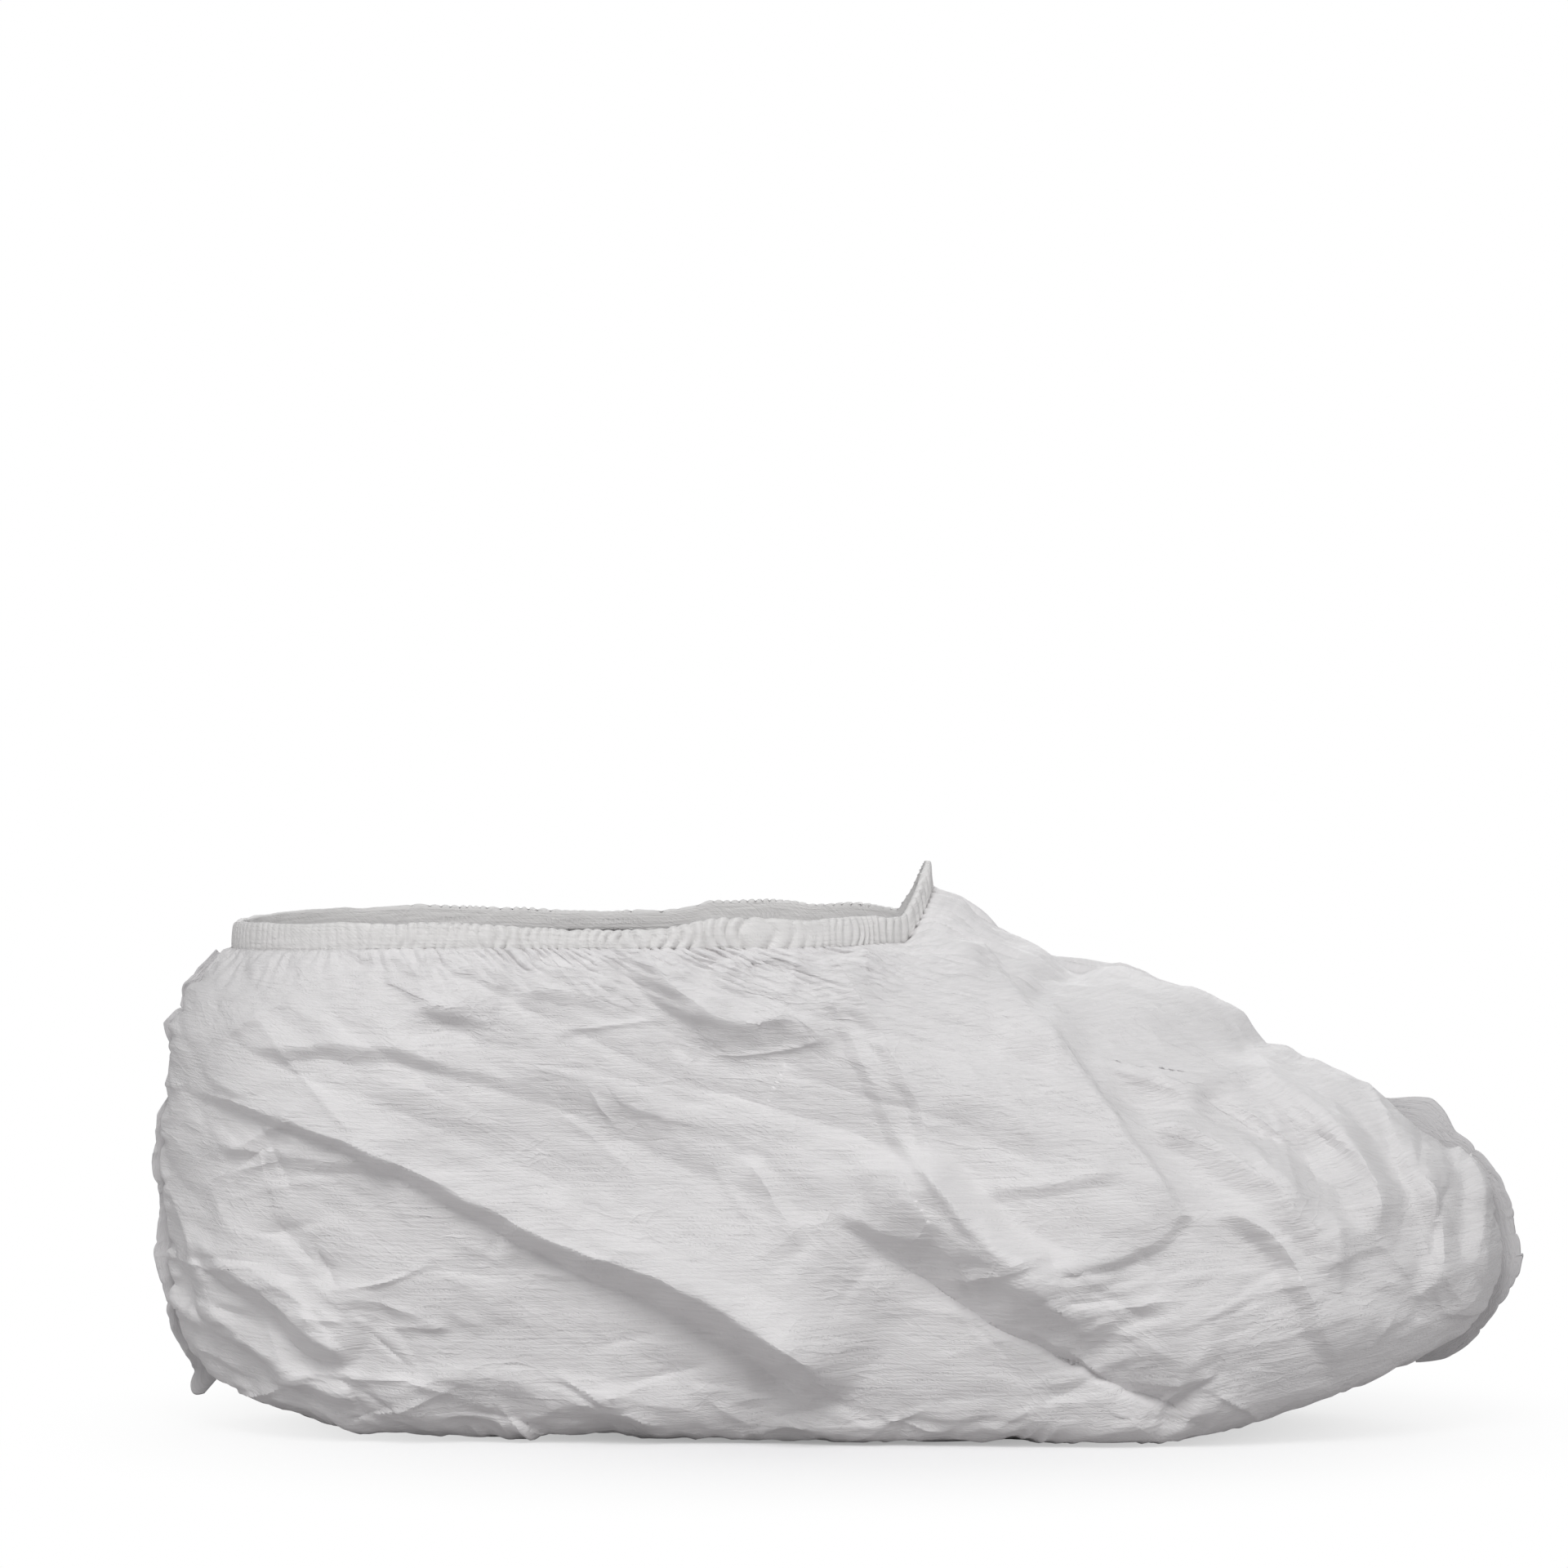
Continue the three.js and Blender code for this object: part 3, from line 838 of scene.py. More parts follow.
@dataclass(frozen=True)
class Graph:
    """The nodes of a material or of the world, added one after another."""

    tree: bpy.types.NodeTree

    def add(self, kind: str, *inputs: object, **settings: object) -> Socket:
        """Adds a node.

        Args:
            kind: Its type, without the word ShaderNode.
            inputs: What its sockets get in order: a socket to link, a value, or None to leave one alone.
            settings: Its own settings.

        Returns:
            Its first output in use.
        """
        node = self.tree.nodes.new(f"ShaderNode{kind}")
        for name, value in settings.items():
            setattr(node, name, value)
        for socket, value in zip([socket for socket in node.inputs if socket.enabled], inputs):
            if isinstance(value, bpy.types.NodeSocket):
                self.link(value, socket)
            elif value is not None:
                socket.default_value = value
        return next(socket for socket in node.outputs if socket.enabled)

    def link(self, output: Socket, entry: Socket) -> None:
        """Links an output to another node's input."""
        self.tree.links.new(output, entry)

    def math(self, operation: str, *inputs: object) -> Socket:
        """Adds a Math node."""
        return self.add("Math", *inputs, operation=operation)

    def noise(self, place: Socket, size: tuple[float, float], detail: float) -> Socket:
        """Adds noise of a size in millimetres along and up the cloth, from about 0.3 to 0.7."""
        scale = (1.0 / MM / size[0], 1.0 / MM / size[1], 1.0)
        scaled = self.add("VectorMath", place, scale, operation="MULTIPLY")
        return self.add("TexNoise", scaled, 1.0, detail, 0.55)

    def turned(self, place: Socket, angle: float) -> Socket:
        """Adds a turn of the flat pattern, by an angle in radians."""
        return self.add("VectorRotate", place, (0.0, 0.0, 0.0), angle, rotation_type="Z_AXIS")

    def waves(self, place: Socket, length: float) -> Socket:
        """Adds sine waves of a length in millimetres."""
        return self.math("SINE", self.math("MULTIPLY", place, 2.0 / MM * math.pi / length))

    def band(self, value: Socket, start: float, end: float) -> Socket:
        """Adds a smooth step from 0 at start to 1 at end."""
        return self.add("MapRange", value, start, end, 0.0, 1.0, interpolation_type="SMOOTHSTEP")


@dataclass(frozen=True)
class CrinkleLines:
    """A set of fine sharp lines in the cloth's finish.

    Attributes:
        size: The distance between them along and up the cloth, in millimetres.
        angle: How far they are turned, in radians.
        weight: Their share of the finish's crinkle height.
        sharpness: How narrow they are.
    """

    size: tuple[float, float]
    angle: float
    weight: float
    sharpness: float


@dataclass(frozen=True)
class Nonwoven:
    """The finish of the cloth: crisp calendered nonwoven with fibres, soft crinkles and embossed dots.

    Attributes:
        name: The material's name.
        light: The colour of its thick stretches.
        thin: The colour of its thin stretches.
        crinkle: How high its small crinkles are, in millimetres.
        roughness: How matt it is.
        specular: How strongly its surface shines.
        dots: How deep the embossed dots are, in millimetres.
        dot_pitch: The distance between them along and up the cloth.
        streaks: How high the long fibre streaks are.
        fibres: How high the short slanting fibres are.
        hollows: How high the soft hollows are.
        lines: Its sets of crinkle lines.
    """

    name: str
    light: tuple[float, float, float]
    thin: tuple[float, float, float]
    crinkle: float = 0.14
    roughness: float = 0.55
    specular: float = 0.35
    dots: float = 0.06
    dot_pitch: tuple[float, float] = (1.15, 1.9)
    streaks: float = 0.22
    fibres: float = 0.14
    hollows: float = 0.35
    lines: tuple[CrinkleLines, ...] = (
        CrinkleLines((21.0, 5.0), 0.1, 1.0, 6.0),
        CrinkleLines((9.0, 3.0), 0.6, 0.6, 4.5),
        CrinkleLines((9.0, 3.2), -0.5, 0.6, 4.5),
    )

    def build(self) -> bpy.types.Material:
        """Makes the material, on the flat pattern's UV map."""
        material = bpy.data.materials.new(self.name)
        material.use_nodes = True
        graph = Graph(material.node_tree)
        shader = material.node_tree.nodes["Principled BSDF"]
        shader.inputs["Roughness"].default_value = self.roughness
        shader.inputs["Specular IOR Level"].default_value = self.specular
        place = graph.add("UVMap", uv_map=SheetMesh.UV_MAP)
        streaks = graph.noise(place, (11.0, 0.55), 3.0)
        bump = graph.add("Bump")
        bump.node.inputs["Distance"].default_value = MM
        graph.link(self._relief(graph, place, streaks), bump.node.inputs["Height"])
        graph.link(bump, shader.inputs["Normal"])
        graph.link(self._shade(graph, place, streaks), shader.inputs["Base Color"])
        return material

    def _shade(self, graph: Graph, place: Socket, streaks: Socket) -> Socket:
        """The cloth's colour, darker in its thin stretches."""
        cloud = graph.noise(place, (26.0, 14.0), 3.0)
        share = graph.math("MULTIPLY_ADD", streaks, 1.3, graph.math("MULTIPLY_ADD", cloud, 1.1, -0.7))
        return graph.add("Mix", share, (*self.light, 1.0), (*self.thin, 1.0), data_type="RGBA")

    def _dots(self, graph: Graph, place: Socket) -> Socket:
        """The embossed dots, 1 in a dot and 0 elsewhere, in rows that come and go."""
        parts = graph.add("SeparateXYZ", place).node
        across, up = (graph.waves(parts.outputs[axis], pitch) for axis, pitch in enumerate(self.dot_pitch))
        dot = graph.band(graph.math("ADD", across, up), 1.05, 1.6)
        patches = graph.band(graph.noise(place, (9.0, 13.0), 2.0), 0.5, 0.6)
        return graph.math("MULTIPLY", dot, patches)

    def _crinkles(self, graph: Graph, place: Socket, lines: CrinkleLines) -> Socket:
        """One set of crinkle lines, from 0 to 1, in patches."""
        turned = graph.turned(place, lines.angle)
        noise = graph.noise(turned, lines.size, 1.0)
        ridge = graph.math("ABSOLUTE", graph.math("MULTIPLY_ADD", noise, 4.0, -2.0))
        line = graph.math("MAXIMUM", graph.math("SUBTRACT", 1.0, ridge), 0.0)
        patches = graph.band(graph.noise(turned, (31.0, 13.0), 1.0), 0.5, 0.66)
        return graph.math("MULTIPLY", graph.math("POWER", line, lines.sharpness), patches)

    def _relief(self, graph: Graph, place: Socket, streaks: Socket) -> Socket:
        """The height of the surface in millimetres."""
        fibres = graph.noise(graph.turned(place, 0.35), (2.6, 0.34), 2.0)
        height = graph.math("MULTIPLY", streaks, self.streaks)
        height = graph.math("MULTIPLY_ADD", fibres, self.fibres, height)
        for lines in self.lines:
            crinkles = self._crinkles(graph, place, lines)
            height = graph.math("MULTIPLY_ADD", crinkles, self.crinkle * lines.weight, height)
        hollows = graph.noise(place, (7.0, 4.0), 2.0)
        height = graph.math("MULTIPLY_ADD", hollows, self.hollows, height)
        return graph.math("MULTIPLY_ADD", self._dots(graph, place), -self.dots, height)


# --------------------------------------------------------------------------------------------------------
# The studio
# --------------------------------------------------------------------------------------------------------


@dataclass(frozen=True)
class SoftLight:
    """A square area light.

    Attributes:
        name: Its name.
        place: Where it stands, in metres.
        size: The length of its sides.
        power: Its power in watts.
        aim: The height over the middle of the cover at which it is aimed.
    """

    name: str
    place: tuple[float, float, float]
    size: float
    power: float
    aim: float = 0.05

    def build(self) -> None:
        """Makes the light."""
        data = bpy.data.lights.new(self.name, "AREA")
        data.size = self.size
        data.energy = self.power
        light = bpy.data.objects.new(self.name, data)
        bpy.context.scene.collection.objects.link(light)
        light.location = self.place
        aim = Vector((0.0, 0.0, self.aim)) - Vector(self.place)
        light.rotation_euler = aim.to_track_quat("-Z", "Y").to_euler()


@dataclass(frozen=True)
class Studio:
    """The pale floor, the surroundings, the soft lights and the camera.

    Attributes:
        floor_size: The length of the floor's sides, in metres.
        floor_drop: How far it lies below the cover.
        floor_fade: Between these distances from its middle it fades into the surroundings.
        floor_colour: Its colour as it is seen.
        bounce_colour: The colour of the light that it throws back at the cover.
        fill_colour: The colour of the light from the surroundings.
        fill: The strength of that light.
        lights: The lights.
        eye: Where the camera stands.
        eye_aim_z: The height at which it looks.
        lens: Its focal length in millimetres.
    """

    floor_size: float = 8.0
    floor_drop: float = 0.0005
    floor_fade: tuple[float, float] = (-0.06, 0.2)
    floor_colour: tuple[float, float, float] = (0.95, 0.95, 0.96)
    bounce_colour: tuple[float, float, float] = (0.52, 0.51, 0.515)
    fill_colour: tuple[float, float, float] = (0.97, 0.98, 1.0)
    fill: float = 0.235
    lights: tuple[SoftLight, ...] = (
        SoftLight("key", (-0.12, -0.85, 0.95), 0.6, 7.8),
        SoftLight("left", (-1.0, -0.55, 0.34), 0.9, 2.2),
        SoftLight("right", (1.0, -0.55, 0.34), 0.9, 2.6),
        SoftLight("back", (0.2, 0.95, 0.66), 0.7, 4.0, aim=0.06),
    )
    eye: tuple[float, float, float] = (-0.0126, -2.0, 0.213)
    eye_aim_z: float = 0.1495
    lens: float = 197.0

    def build(self) -> None:
        """Makes everything that is not part of the cover."""
        bpy.context.scene.view_settings.view_transform = "Standard"
        self._floor()
        self._surroundings()
        for light in self.lights:
            light.build()
        self._camera()

    def _floor(self) -> None:
        """The floor, of white paint that fades into the surroundings and throws little light back."""
        bpy.ops.mesh.primitive_plane_add(size=self.floor_size, location=(0, 0, -self.floor_drop))
        floor = bpy.context.object
        floor.name = "floor"
        material = bpy.data.materials.new("floor_paint")
        material.use_nodes = True
        material.node_tree.nodes.clear()
        graph = Graph(material.node_tree)
        place = graph.add("TexCoord").node.outputs["Object"]
        fade = graph.band(graph.add("VectorMath", place, operation="LENGTH"), *self.floor_fade)
        paint = graph.add("BsdfDiffuse", (*self.floor_colour, 1.0))
        seen = graph.add("MixShader", fade, paint, graph.add("Emission"))
        bounce = graph.add("BsdfDiffuse", (*self.bounce_colour, 1.0))
        mixed = graph.add("MixShader", graph.add("LightPath"), bounce, seen)
        graph.link(mixed, graph.tree.nodes.new("ShaderNodeOutputMaterial").inputs["Surface"])
        floor.data.materials.append(material)

    def _surroundings(self) -> None:
        """The world: white where it is seen, and a weak cool fill on the cover."""
        world = bpy.data.worlds.new("studio")
        bpy.context.scene.world = world
        world.use_nodes = True
        world.node_tree.nodes.clear()
        graph = Graph(world.node_tree)
        fill = graph.add("Background", (*self.fill_colour, 1.0), self.fill)
        seen = graph.add("Background", (1.0, 1.0, 1.0, 1.0), 1.0)
        mixed = graph.add("MixShader", graph.add("LightPath"), fill, seen)
        graph.link(mixed, graph.tree.nodes.new("ShaderNodeOutputWorld").inputs["Surface"])

    def _camera(self) -> None:
        """The camera, a little above the cover and far from it."""
        camera = bpy.data.objects.new("camera", bpy.data.cameras.new("camera"))
        bpy.context.scene.collection.objects.link(camera)
        camera.location = self.eye
        aim = Vector((self.eye[0], 0.0, self.eye_aim_z)) - Vector(self.eye)
        camera.rotation_euler = aim.to_track_quat("-Z", "Y").to_euler()
        camera.data.lens = self.lens
        camera.data.sensor_width = 36.0
        bpy.context.scene.camera = camera


# --------------------------------------------------------------------------------------------------------
# The pieces
# --------------------------------------------------------------------------------------------------------


@dataclass(frozen=True)
class Gathers:
    """The small puckers that the elastic draws into the hem, and on into the tops of the panels.

    Attributes:
        pleat: The usual distance between two puckers, in millimetres.
        depth: How deep they are.
        smooth_x: They grow from the first of these two places along the cover to the second.
        half_band: Half the hem's height.
        reach: How far they run on below the hem.
    """

    pleat: float = 2.7
    depth: float = 1.35
    smooth_x: tuple[float, float] = (-118.0, -84.0)
    half_band: float = 3.0
    reach: float = 6.0

    # the share of its depth that a pucker keeps where the hem is smoothest
    SMOOTHEST = 0.15

    def bulge(self, run: Points, up: Points, x: Points) -> Points:
        """How far the cloth bulges or draws in, in millimetres.

        Args:
            run: How far along the hem's loop each point lies.
            up: How far above the middle of the hem it lies.
            x: Its place along the cover.

        Returns:
            A value for each point, where an inward one is negative.
        """
        drift = 0.5 * ValueNoise(32, (6.0, 4.0)).at(run, up) + 2.0 * ValueNoise(35, (23.0, 40.0)).at(run, up)
        folds = np.abs(np.sin(math.pi * (run / self.pleat + drift))) ** 0.75 - 0.62
        strength = ease(-1.3, 0.5, ValueNoise(33, (9.0, 5.0)).at(run, up))
        ruched = self.SMOOTHEST + (1.0 - self.SMOOTHEST) * ease(*self.smooth_x, x)
        return self.depth * strength * ruched * folds


@dataclass(frozen=True)
class PanelGrid:
    """A panel's flat grid, laid on the cover's smooth form.

    Attributes:
        station: The station of each row of points.
        level: The level of each column of points.
        form: The points on the form, in millimetres.
        normal: The form's outward normals.
        u: How far along the flat cloth each point lies, in millimetres.
        v: How far up it lies.
    """

    station: Points
    level: Points
    form: Points
    normal: Points
    u: Points
    v: Points

    def calm(self, seam: float, sole: tuple[float, float], hem: float) -> Points:
        """How much of a relief each point gets, so that it fades at the panel's edges.

        Args:
            seam: The share of the stations over which it fades at the heel and the toe.
            sole: The levels between which it grows from the sole.
            hem: The level from which it fades to the hem.

        Returns:
            A value from 0 to 1 for each point.
        """
        sideways = clear_of_ends(self.station, seam, seam)[:, None]
        return sideways * (ease(*sole, self.level) * (1 - ease(hem, 1.0, self.level)))[None, :]


@dataclass
class SidePanel:
    """One side of the cover with its half of the sole.

    Attributes:
        side: Which side it is.
        folds: Its large folds.
        creases: Its patches of fine creases.
        seed: Which of the random patterns it has.
        stations: The number of steps of its grid between the seams.
        sole_rows: The number of steps across the sole.
        wall_rows: The number of steps up the wall.
        wall: The cloth's thickness in millimetres.
        keep: The share of its triangles that is kept.
        form: The cover's smooth form.
        relaxation: How its spare cloth buckles.
        gathers: The puckers below the hem.
    """

    side: Side
    folds: tuple[Fold | FlatFlap, ...]
    creases: tuple[CreaseField, ...]
    seed: int
    stations: int = 560
    sole_rows: int = 20
    wall_rows: int = 260
    wall: float = 0.25
    keep: float = 0.3
    form: CoverForm = field(default_factory=CoverForm)
    relaxation: PaperRelaxation = field(default_factory=PaperRelaxation)
    gathers: Gathers = field(default_factory=Gathers)

    # how far up the flat cloth the hem's seam is
    HEM_V = 160.0
    # the spare cloth below the hem grows between these two places along the cover
    RUCHED_X = (-112.0, -60.0)
    # the cloth rises from the ground towards the back of the heel, between these two places
    HEEL_SPRING_X = (-70.0, -120.0)
    # the relaxation moves every fourth point
    COARSE = 4

    @property
    def turn(self) -> int:
        """1 or -1, so that the grid's normals point outwards."""
        return 1 if self.side is Side.NEAR else -1

    def build(self) -> bpy.types.Object:
        """Makes the panel."""
        grid = self.grid()
        shape = self.folded(grid)
        shape = shape + refined(refined(self.loosened(grid, shape)))
        normal = grid_normals(shape, self.turn)
        cloth = shape + self.crumpled(grid, shape)[..., None] * normal
        cloth[..., 2] += self.lifted_sole(grid, cloth)
        cloth += self.gathered(grid)[..., None] * normal
        cloth[..., 2] = np.maximum(cloth[..., 2], 0.0)
        name = f"{self.side.name.lower()}_panel_cloth"
        flat = np.stack([grid.u, grid.v], -1) * MM
        return SheetMesh(name, cloth, flat, self.turn, self.wall, keep=self.keep).build()

    def grid(self) -> PanelGrid:
        """The panel's flat grid on the smooth form."""
        station = self.form.even_stations(self.stations + 1)
        level = self.form.even_levels(self.sole_rows, self.wall_rows)
        form = self.form.points(self.side, station, level)
        run_u = run_along(form[:, self.wall_rows // 2])
        run_v = run_along(form[2 * self.stations // 5])
        u, v = np.meshgrid(run_u, run_v - run_v[-1] + self.HEM_V, indexing="ij")
        return PanelGrid(station, level, form, grid_normals(form, self.turn), u, v)

    def folded(self, grid: PanelGrid) -> Points:
        """Lays the panel's folds and its broad flat facets on the form.

        Args:
            grid: The panel's grid.

        Returns:
            The folded points.
        """
        u, v, normal = grid.u, grid.v, grid.normal
        large, small = (19.0, 15.0), (6.0, 5.0)
        warp = [
            0.7 * ValueNoise(self.seed + k, large).at(u, v)
            + 0.5 * ValueNoise(self.seed + k + 1, small).at(u, v)
            for k in (60, 70)
        ]
        lift = CrumpledFacets(self.seed, (38, 15), 0.055).at(u + 0.3 * v, v + 0.45 * u)
        lift += CrumpledFacets(self.seed + 1, (16, 7), 0.035).at(u, v + 0.5 * u)
        x, z = grid.form[..., 0] + warp[0], grid.form[..., 2] + warp[1]
        upright = ease(0.35, 0.7, np.abs(normal[..., 1]))
        slide = sum(fold.draw(x, z) for fold in self.folds) * upright[..., None]
        x, z = x + slide[..., 0], z + slide[..., 1]
        for fold in self.folds:
            up, move = fold.shift(x, z)
            # a fold's height wavers along its way, in a pattern that its name's length picks
            lift += up * (1.0 + 0.3 * ValueNoise(len(fold.name), (24.0, 24.0)).at(u, v))
            slide = slide + move
        calm = grid.calm(0.03, (0.19, 0.27), 0.95)
        slide = slide * calm[..., None]
        sideways = self.side.value * np.maximum(np.abs(normal[..., 1]), 0.35)
        depth = -(slide[..., 0] * normal[..., 0] + slide[..., 1] * normal[..., 2]) / sideways
        moved = np.stack([slide[..., 0], depth, slide[..., 1]], -1)
        return grid.form + (calm * lift)[..., None] * normal + moved

    def loosened(self, grid: PanelGrid, shape: Points) -> Points:
        """Lets the spare cloth below the hem and along the seams buckle.

        Args:
            grid: The panel's grid.
            shape: The folded points.

        Returns:
            How far every fourth point moves.
        """
        step = self.COARSE
        shape, form, normal = (values[::step, ::step].copy() for values in (shape, grid.form, grid.normal))
        station, level = grid.station[::step], grid.level[::step]
        near_hem = np.broadcast_to(ease(0.84, 1.0, level)[None, :], shape.shape[:2])
        near_seam = (1 - clear_of_ends(station, 0.08, 0.06))[:, None] * ease(0.2, 0.3, level)[None, :]
        held = np.zeros(shape.shape[:2], bool)
        held[0], held[-1], held[:, 0], held[:, -1] = True, True, True, True
        front = ease(*self.RUCHED_X, form[..., 0])
        spare = ((0.03 + 0.04 * front) * near_hem**2, 0.06 * near_seam)
        cloth = self.relaxation.settle(shape, form, normal, spare, held)
        loose = np.maximum(ease(0.0, 0.3, near_hem), ease(0.0, 0.5, near_seam))
        return loose[..., None] * (cloth - shape)

    def crumpled(self, grid: PanelGrid, shape: Points) -> Points:
        """The lift of the small facets and the fine creases, in millimetres.

        Args:
            grid: The panel's grid.
            shape: The folded points.

        Returns:
            A value for each point.
        """
        fine = CrumpledFacets(self.seed + 2, (9, 3.6), 0.045).at(grid.u, grid.v)
        for patch in self.creases:
            fine += patch.lift(shape[..., 0], shape[..., 2], self.seed)
        return grid.calm(0.02, (0.10, 0.19), 0.96) * fine

    def lifted_sole(self, grid: PanelGrid, cloth: Points) -> Points:
        """How far the sole's edge lies off the ground, unevenly, and more towards the back of the heel.

        Args:
            grid: The panel's grid.
            cloth: The panel's points.

        Returns:
            A value in millimetres for each point.
        """
        edge = (ease(0.08, 0.17, grid.level) * (1 - ease(0.23, 0.3, grid.level)))[None, :]
        uneven = 1.6 * np.maximum(0.0, ValueNoise(self.seed + 80, (15.0, 9.0)).at(grid.u, grid.v))
        uneven = uneven + 0.7 * np.abs(ValueNoise(self.seed + 81, (4.5, 4.0)).at(grid.u, grid.v))
        return edge * (uneven + 1.6 * ease(*self.HEEL_SPRING_X, cloth[..., 0]))

    def gathered(self, grid: PanelGrid) -> Points:
        """How far the hem's puckers lift the cloth below it, in millimetres."""
        run = run_along(grid.form[:, -1])
        run = run if self.side is Side.NEAR else 2.0 * run[-1] - run
        run = np.broadcast_to(run[:, None], grid.u.shape)
        bulge = self.gathers.bulge(run, grid.v - self.HEM_V - self.gathers.half_band, grid.form[..., 0])
        return bulge * np.exp(-(((self.HEM_V - grid.v) / self.gathers.reach) ** 2))


@dataclass(frozen=True)
class SeamAllowance:
    """The cut edges of both panels, which stand out beyond the seam in one narrow, fluttering strip.

    Attributes:
        end: The heel or the toe.
        widths: How far it stands out, in millimetres, at levels from its lower end to its upper one.
        tab: How much further its lower end sticks out.
        seed: Which of the random patterns shapes it.
        flutter: How far its edge waves to the sides.
        crimp: How high its small crinkles are.
        rows: The number of steps of its grid along the seam.
        columns: The number of steps across it.
        root: How far it reaches in between the panels.
        wall: Its thickness, which is that of both layers of cloth.
        form: The cover's smooth form.
    """

    end: SeamEnd
    widths: tuple[tuple[float, float], ...]
    tab: float
    seed: int
    flutter: float
    crimp: float
    rows: int = 420
    columns: int = 12
    root: float = 1.2
    wall: float = 0.5
    form: CoverForm = field(default_factory=CoverForm)

    def build(self) -> bpy.types.Object:
        """Makes the strip."""
        level = np.linspace(self.widths[0][0], self.widths[-1][0], self.rows + 1)
        line = self.form.points(Side.NEAR, np.array([float(self.end.value)]), level)[0]
        line[:, 1] = 0.0
        along = np.gradient(blurred(line[:, None], 60)[:, 0], axis=0)
        outward = -1.0 if self.end is SeamEnd.HEEL else 1.0
        out = outward * np.stack([along[:, 2], 0 * level, -along[:, 0]], -1) / lengths(along)[:, None]
        run = run_along(line)
        width = self.width(level, run)
        across = np.linspace(0.0, 1.0, self.columns + 1)
        u, v = np.meshgrid(run, across, indexing="ij")
        points = line[:, None] + out[:, None] * (across * (width[:, None] + self.root) - self.root)[..., None]
        points[..., 1] = self.wave(u, v) * v**1.3
        flat = np.stack([u, v * width.max()], -1) * MM
        name = f"{self.end.name.lower()}_seam_allowance"
        return SheetMesh(name, points, flat, 1 if self.end is SeamEnd.HEEL else -1, self.wall).build()

    def width(self, level: Points, run: Points) -> Points:
        """How far the strip stands out of its groove at an array of levels, in millimetres."""
        width = blurred(np.interp(level, *zip(*self.widths))[:, None], 12)[:, 0]
        width = width + self.form.groove[0] + self.tab * np.exp(-(((run - 1.5) / 1.6) ** 2))
        return width * (1.0 + 0.1 * ValueNoise(self.seed, (6.0, 1.0)).along(run))

    def wave(self, u: Points, v: Points) -> Points:
        """How far the strip waves and crinkles to the sides, in millimetres."""
        wave = self.flutter * ValueNoise(self.seed + 1, (9.0, 1.0)).along(u)
        return wave + self.crimp * CrumpledFacets(self.seed + 2, (2.6, 4.0), 0.9).at(u + 1.5 * v, 4.0 * v)


@dataclass(frozen=True)
class ElasticHem:
    """The hem round the ankle opening: a narrow tunnel of cloth, ruched by the elastic inside it.

    Attributes:
        thickness: The tunnel's thickness in millimetres.
        rises: How far its upper edge rises or sags, at places along the cover.
        stations: The number of steps of its grid round the opening.
        ring: The number of steps round the tunnel.
        form: The cover's smooth form.
        gathers: Its puckers.
    """

    thickness: float = 1.7
    rises: tuple[tuple[float, float], ...] = (
        (-150, 1.0), (-118, 0.4), (-87, -0.2), (-55, -1.6), (-40, -1.2), (-30, 0.8), (-20, 1.4), (-5, 0.5),
        (3, 1.1), (13, 0.4), (22, 0.5),
    )
    stations: int = 1500
    ring: int = 22
    form: CoverForm = field(default_factory=CoverForm)
    gathers: Gathers = field(default_factory=Gathers)

    # how square the tunnel's section is, across and up, where 1 is round
    SQUARE = (0.4, 0.8)
    # the upper edge stays level over this length on both sides of the front seam
    LEVEL_END = 12.0

    def line(self) -> Points:
        """The loop of the panels' upper edges, in even steps, with its first point again at its end."""
        fine = np.linspace(0.0, 1.0, 800)
        near, far = (self.form.points(side, fine, np.array([1.0]))[:, 0] for side in (Side.NEAR, Side.FAR))
        loop = np.vstack([near, far[::-1], near[:1]])
        run = run_along(loop)
        even = np.linspace(0.0, run[-1], self.stations + 1)
        return np.stack([np.interp(even, run, loop[:, axis]) for axis in range(3)], -1)

    def outward(self, line: Points) -> Points:
        """The level directions that point out of the loop."""
        along = np.roll(line[:-1], -1, axis=0) - np.roll(line[:-1], 1, axis=0)
        along = np.vstack([along, along[:1]])
        out = np.stack([along[:, 1], -along[:, 0], 0 * along[:, 0]], -1)
        return out / lengths(out)[:, None]

    def rise(self, line: Points, run: Points) -> Points:
        """How far the upper edge rises or sags along the loop, in millimetres."""
        sway = np.interp(line[:, 0], *zip(*self.rises)) + 0.3 * ValueNoise(37, (5.0, 1.0)).along(run)
        end = self.LEVEL_END
        return sway * np.minimum(1.0, (run[-1] - run) / end) * np.minimum(1.0, run / end)

    def build(self) -> bpy.types.Object:
        """Makes the hem."""
        line = self.line()
        run = run_along(line)
        turn = np.linspace(0.0, 2.0 * math.pi, self.ring + 1)
        u, around = np.meshgrid(run, turn, indexing="ij")
        across, up = (
            (np.sign(wave) * np.abs(wave) ** square)[None, :]
            for wave, square in zip((np.cos(turn), np.sin(turn)), self.SQUARE)
        )
        band = self.gathers.half_band
        bulge = self.gathers.bulge(u, band * up, line[:, :1])
        bulge[-1] = bulge[0]
        bulge = bulge * (across > -0.5)
        offset = (across - 0.88) * self.thickness / 2.0 + bulge - 0.22 * (up + 1.0)
        rise = band * (up + 0.86) + 0.5 * bulge * (up > 0.6)
        points = line[:, None] + self.outward(line)[:, None] * offset[..., None]
        points[..., 2] += rise + self.rise(line, run)[:, None] * (up + 1.0) / 2.0
        flat = np.stack([u, around / (2.0 * math.pi) * (4.0 * band)], -1) * MM
        return SheetMesh("opening_hem_cloth", points, flat, 1, 0.0, (True, True)).build()


SOFT, SWAG, CREASE = FoldKind.SOFT, FoldKind.SWAG, FoldKind.CREASE
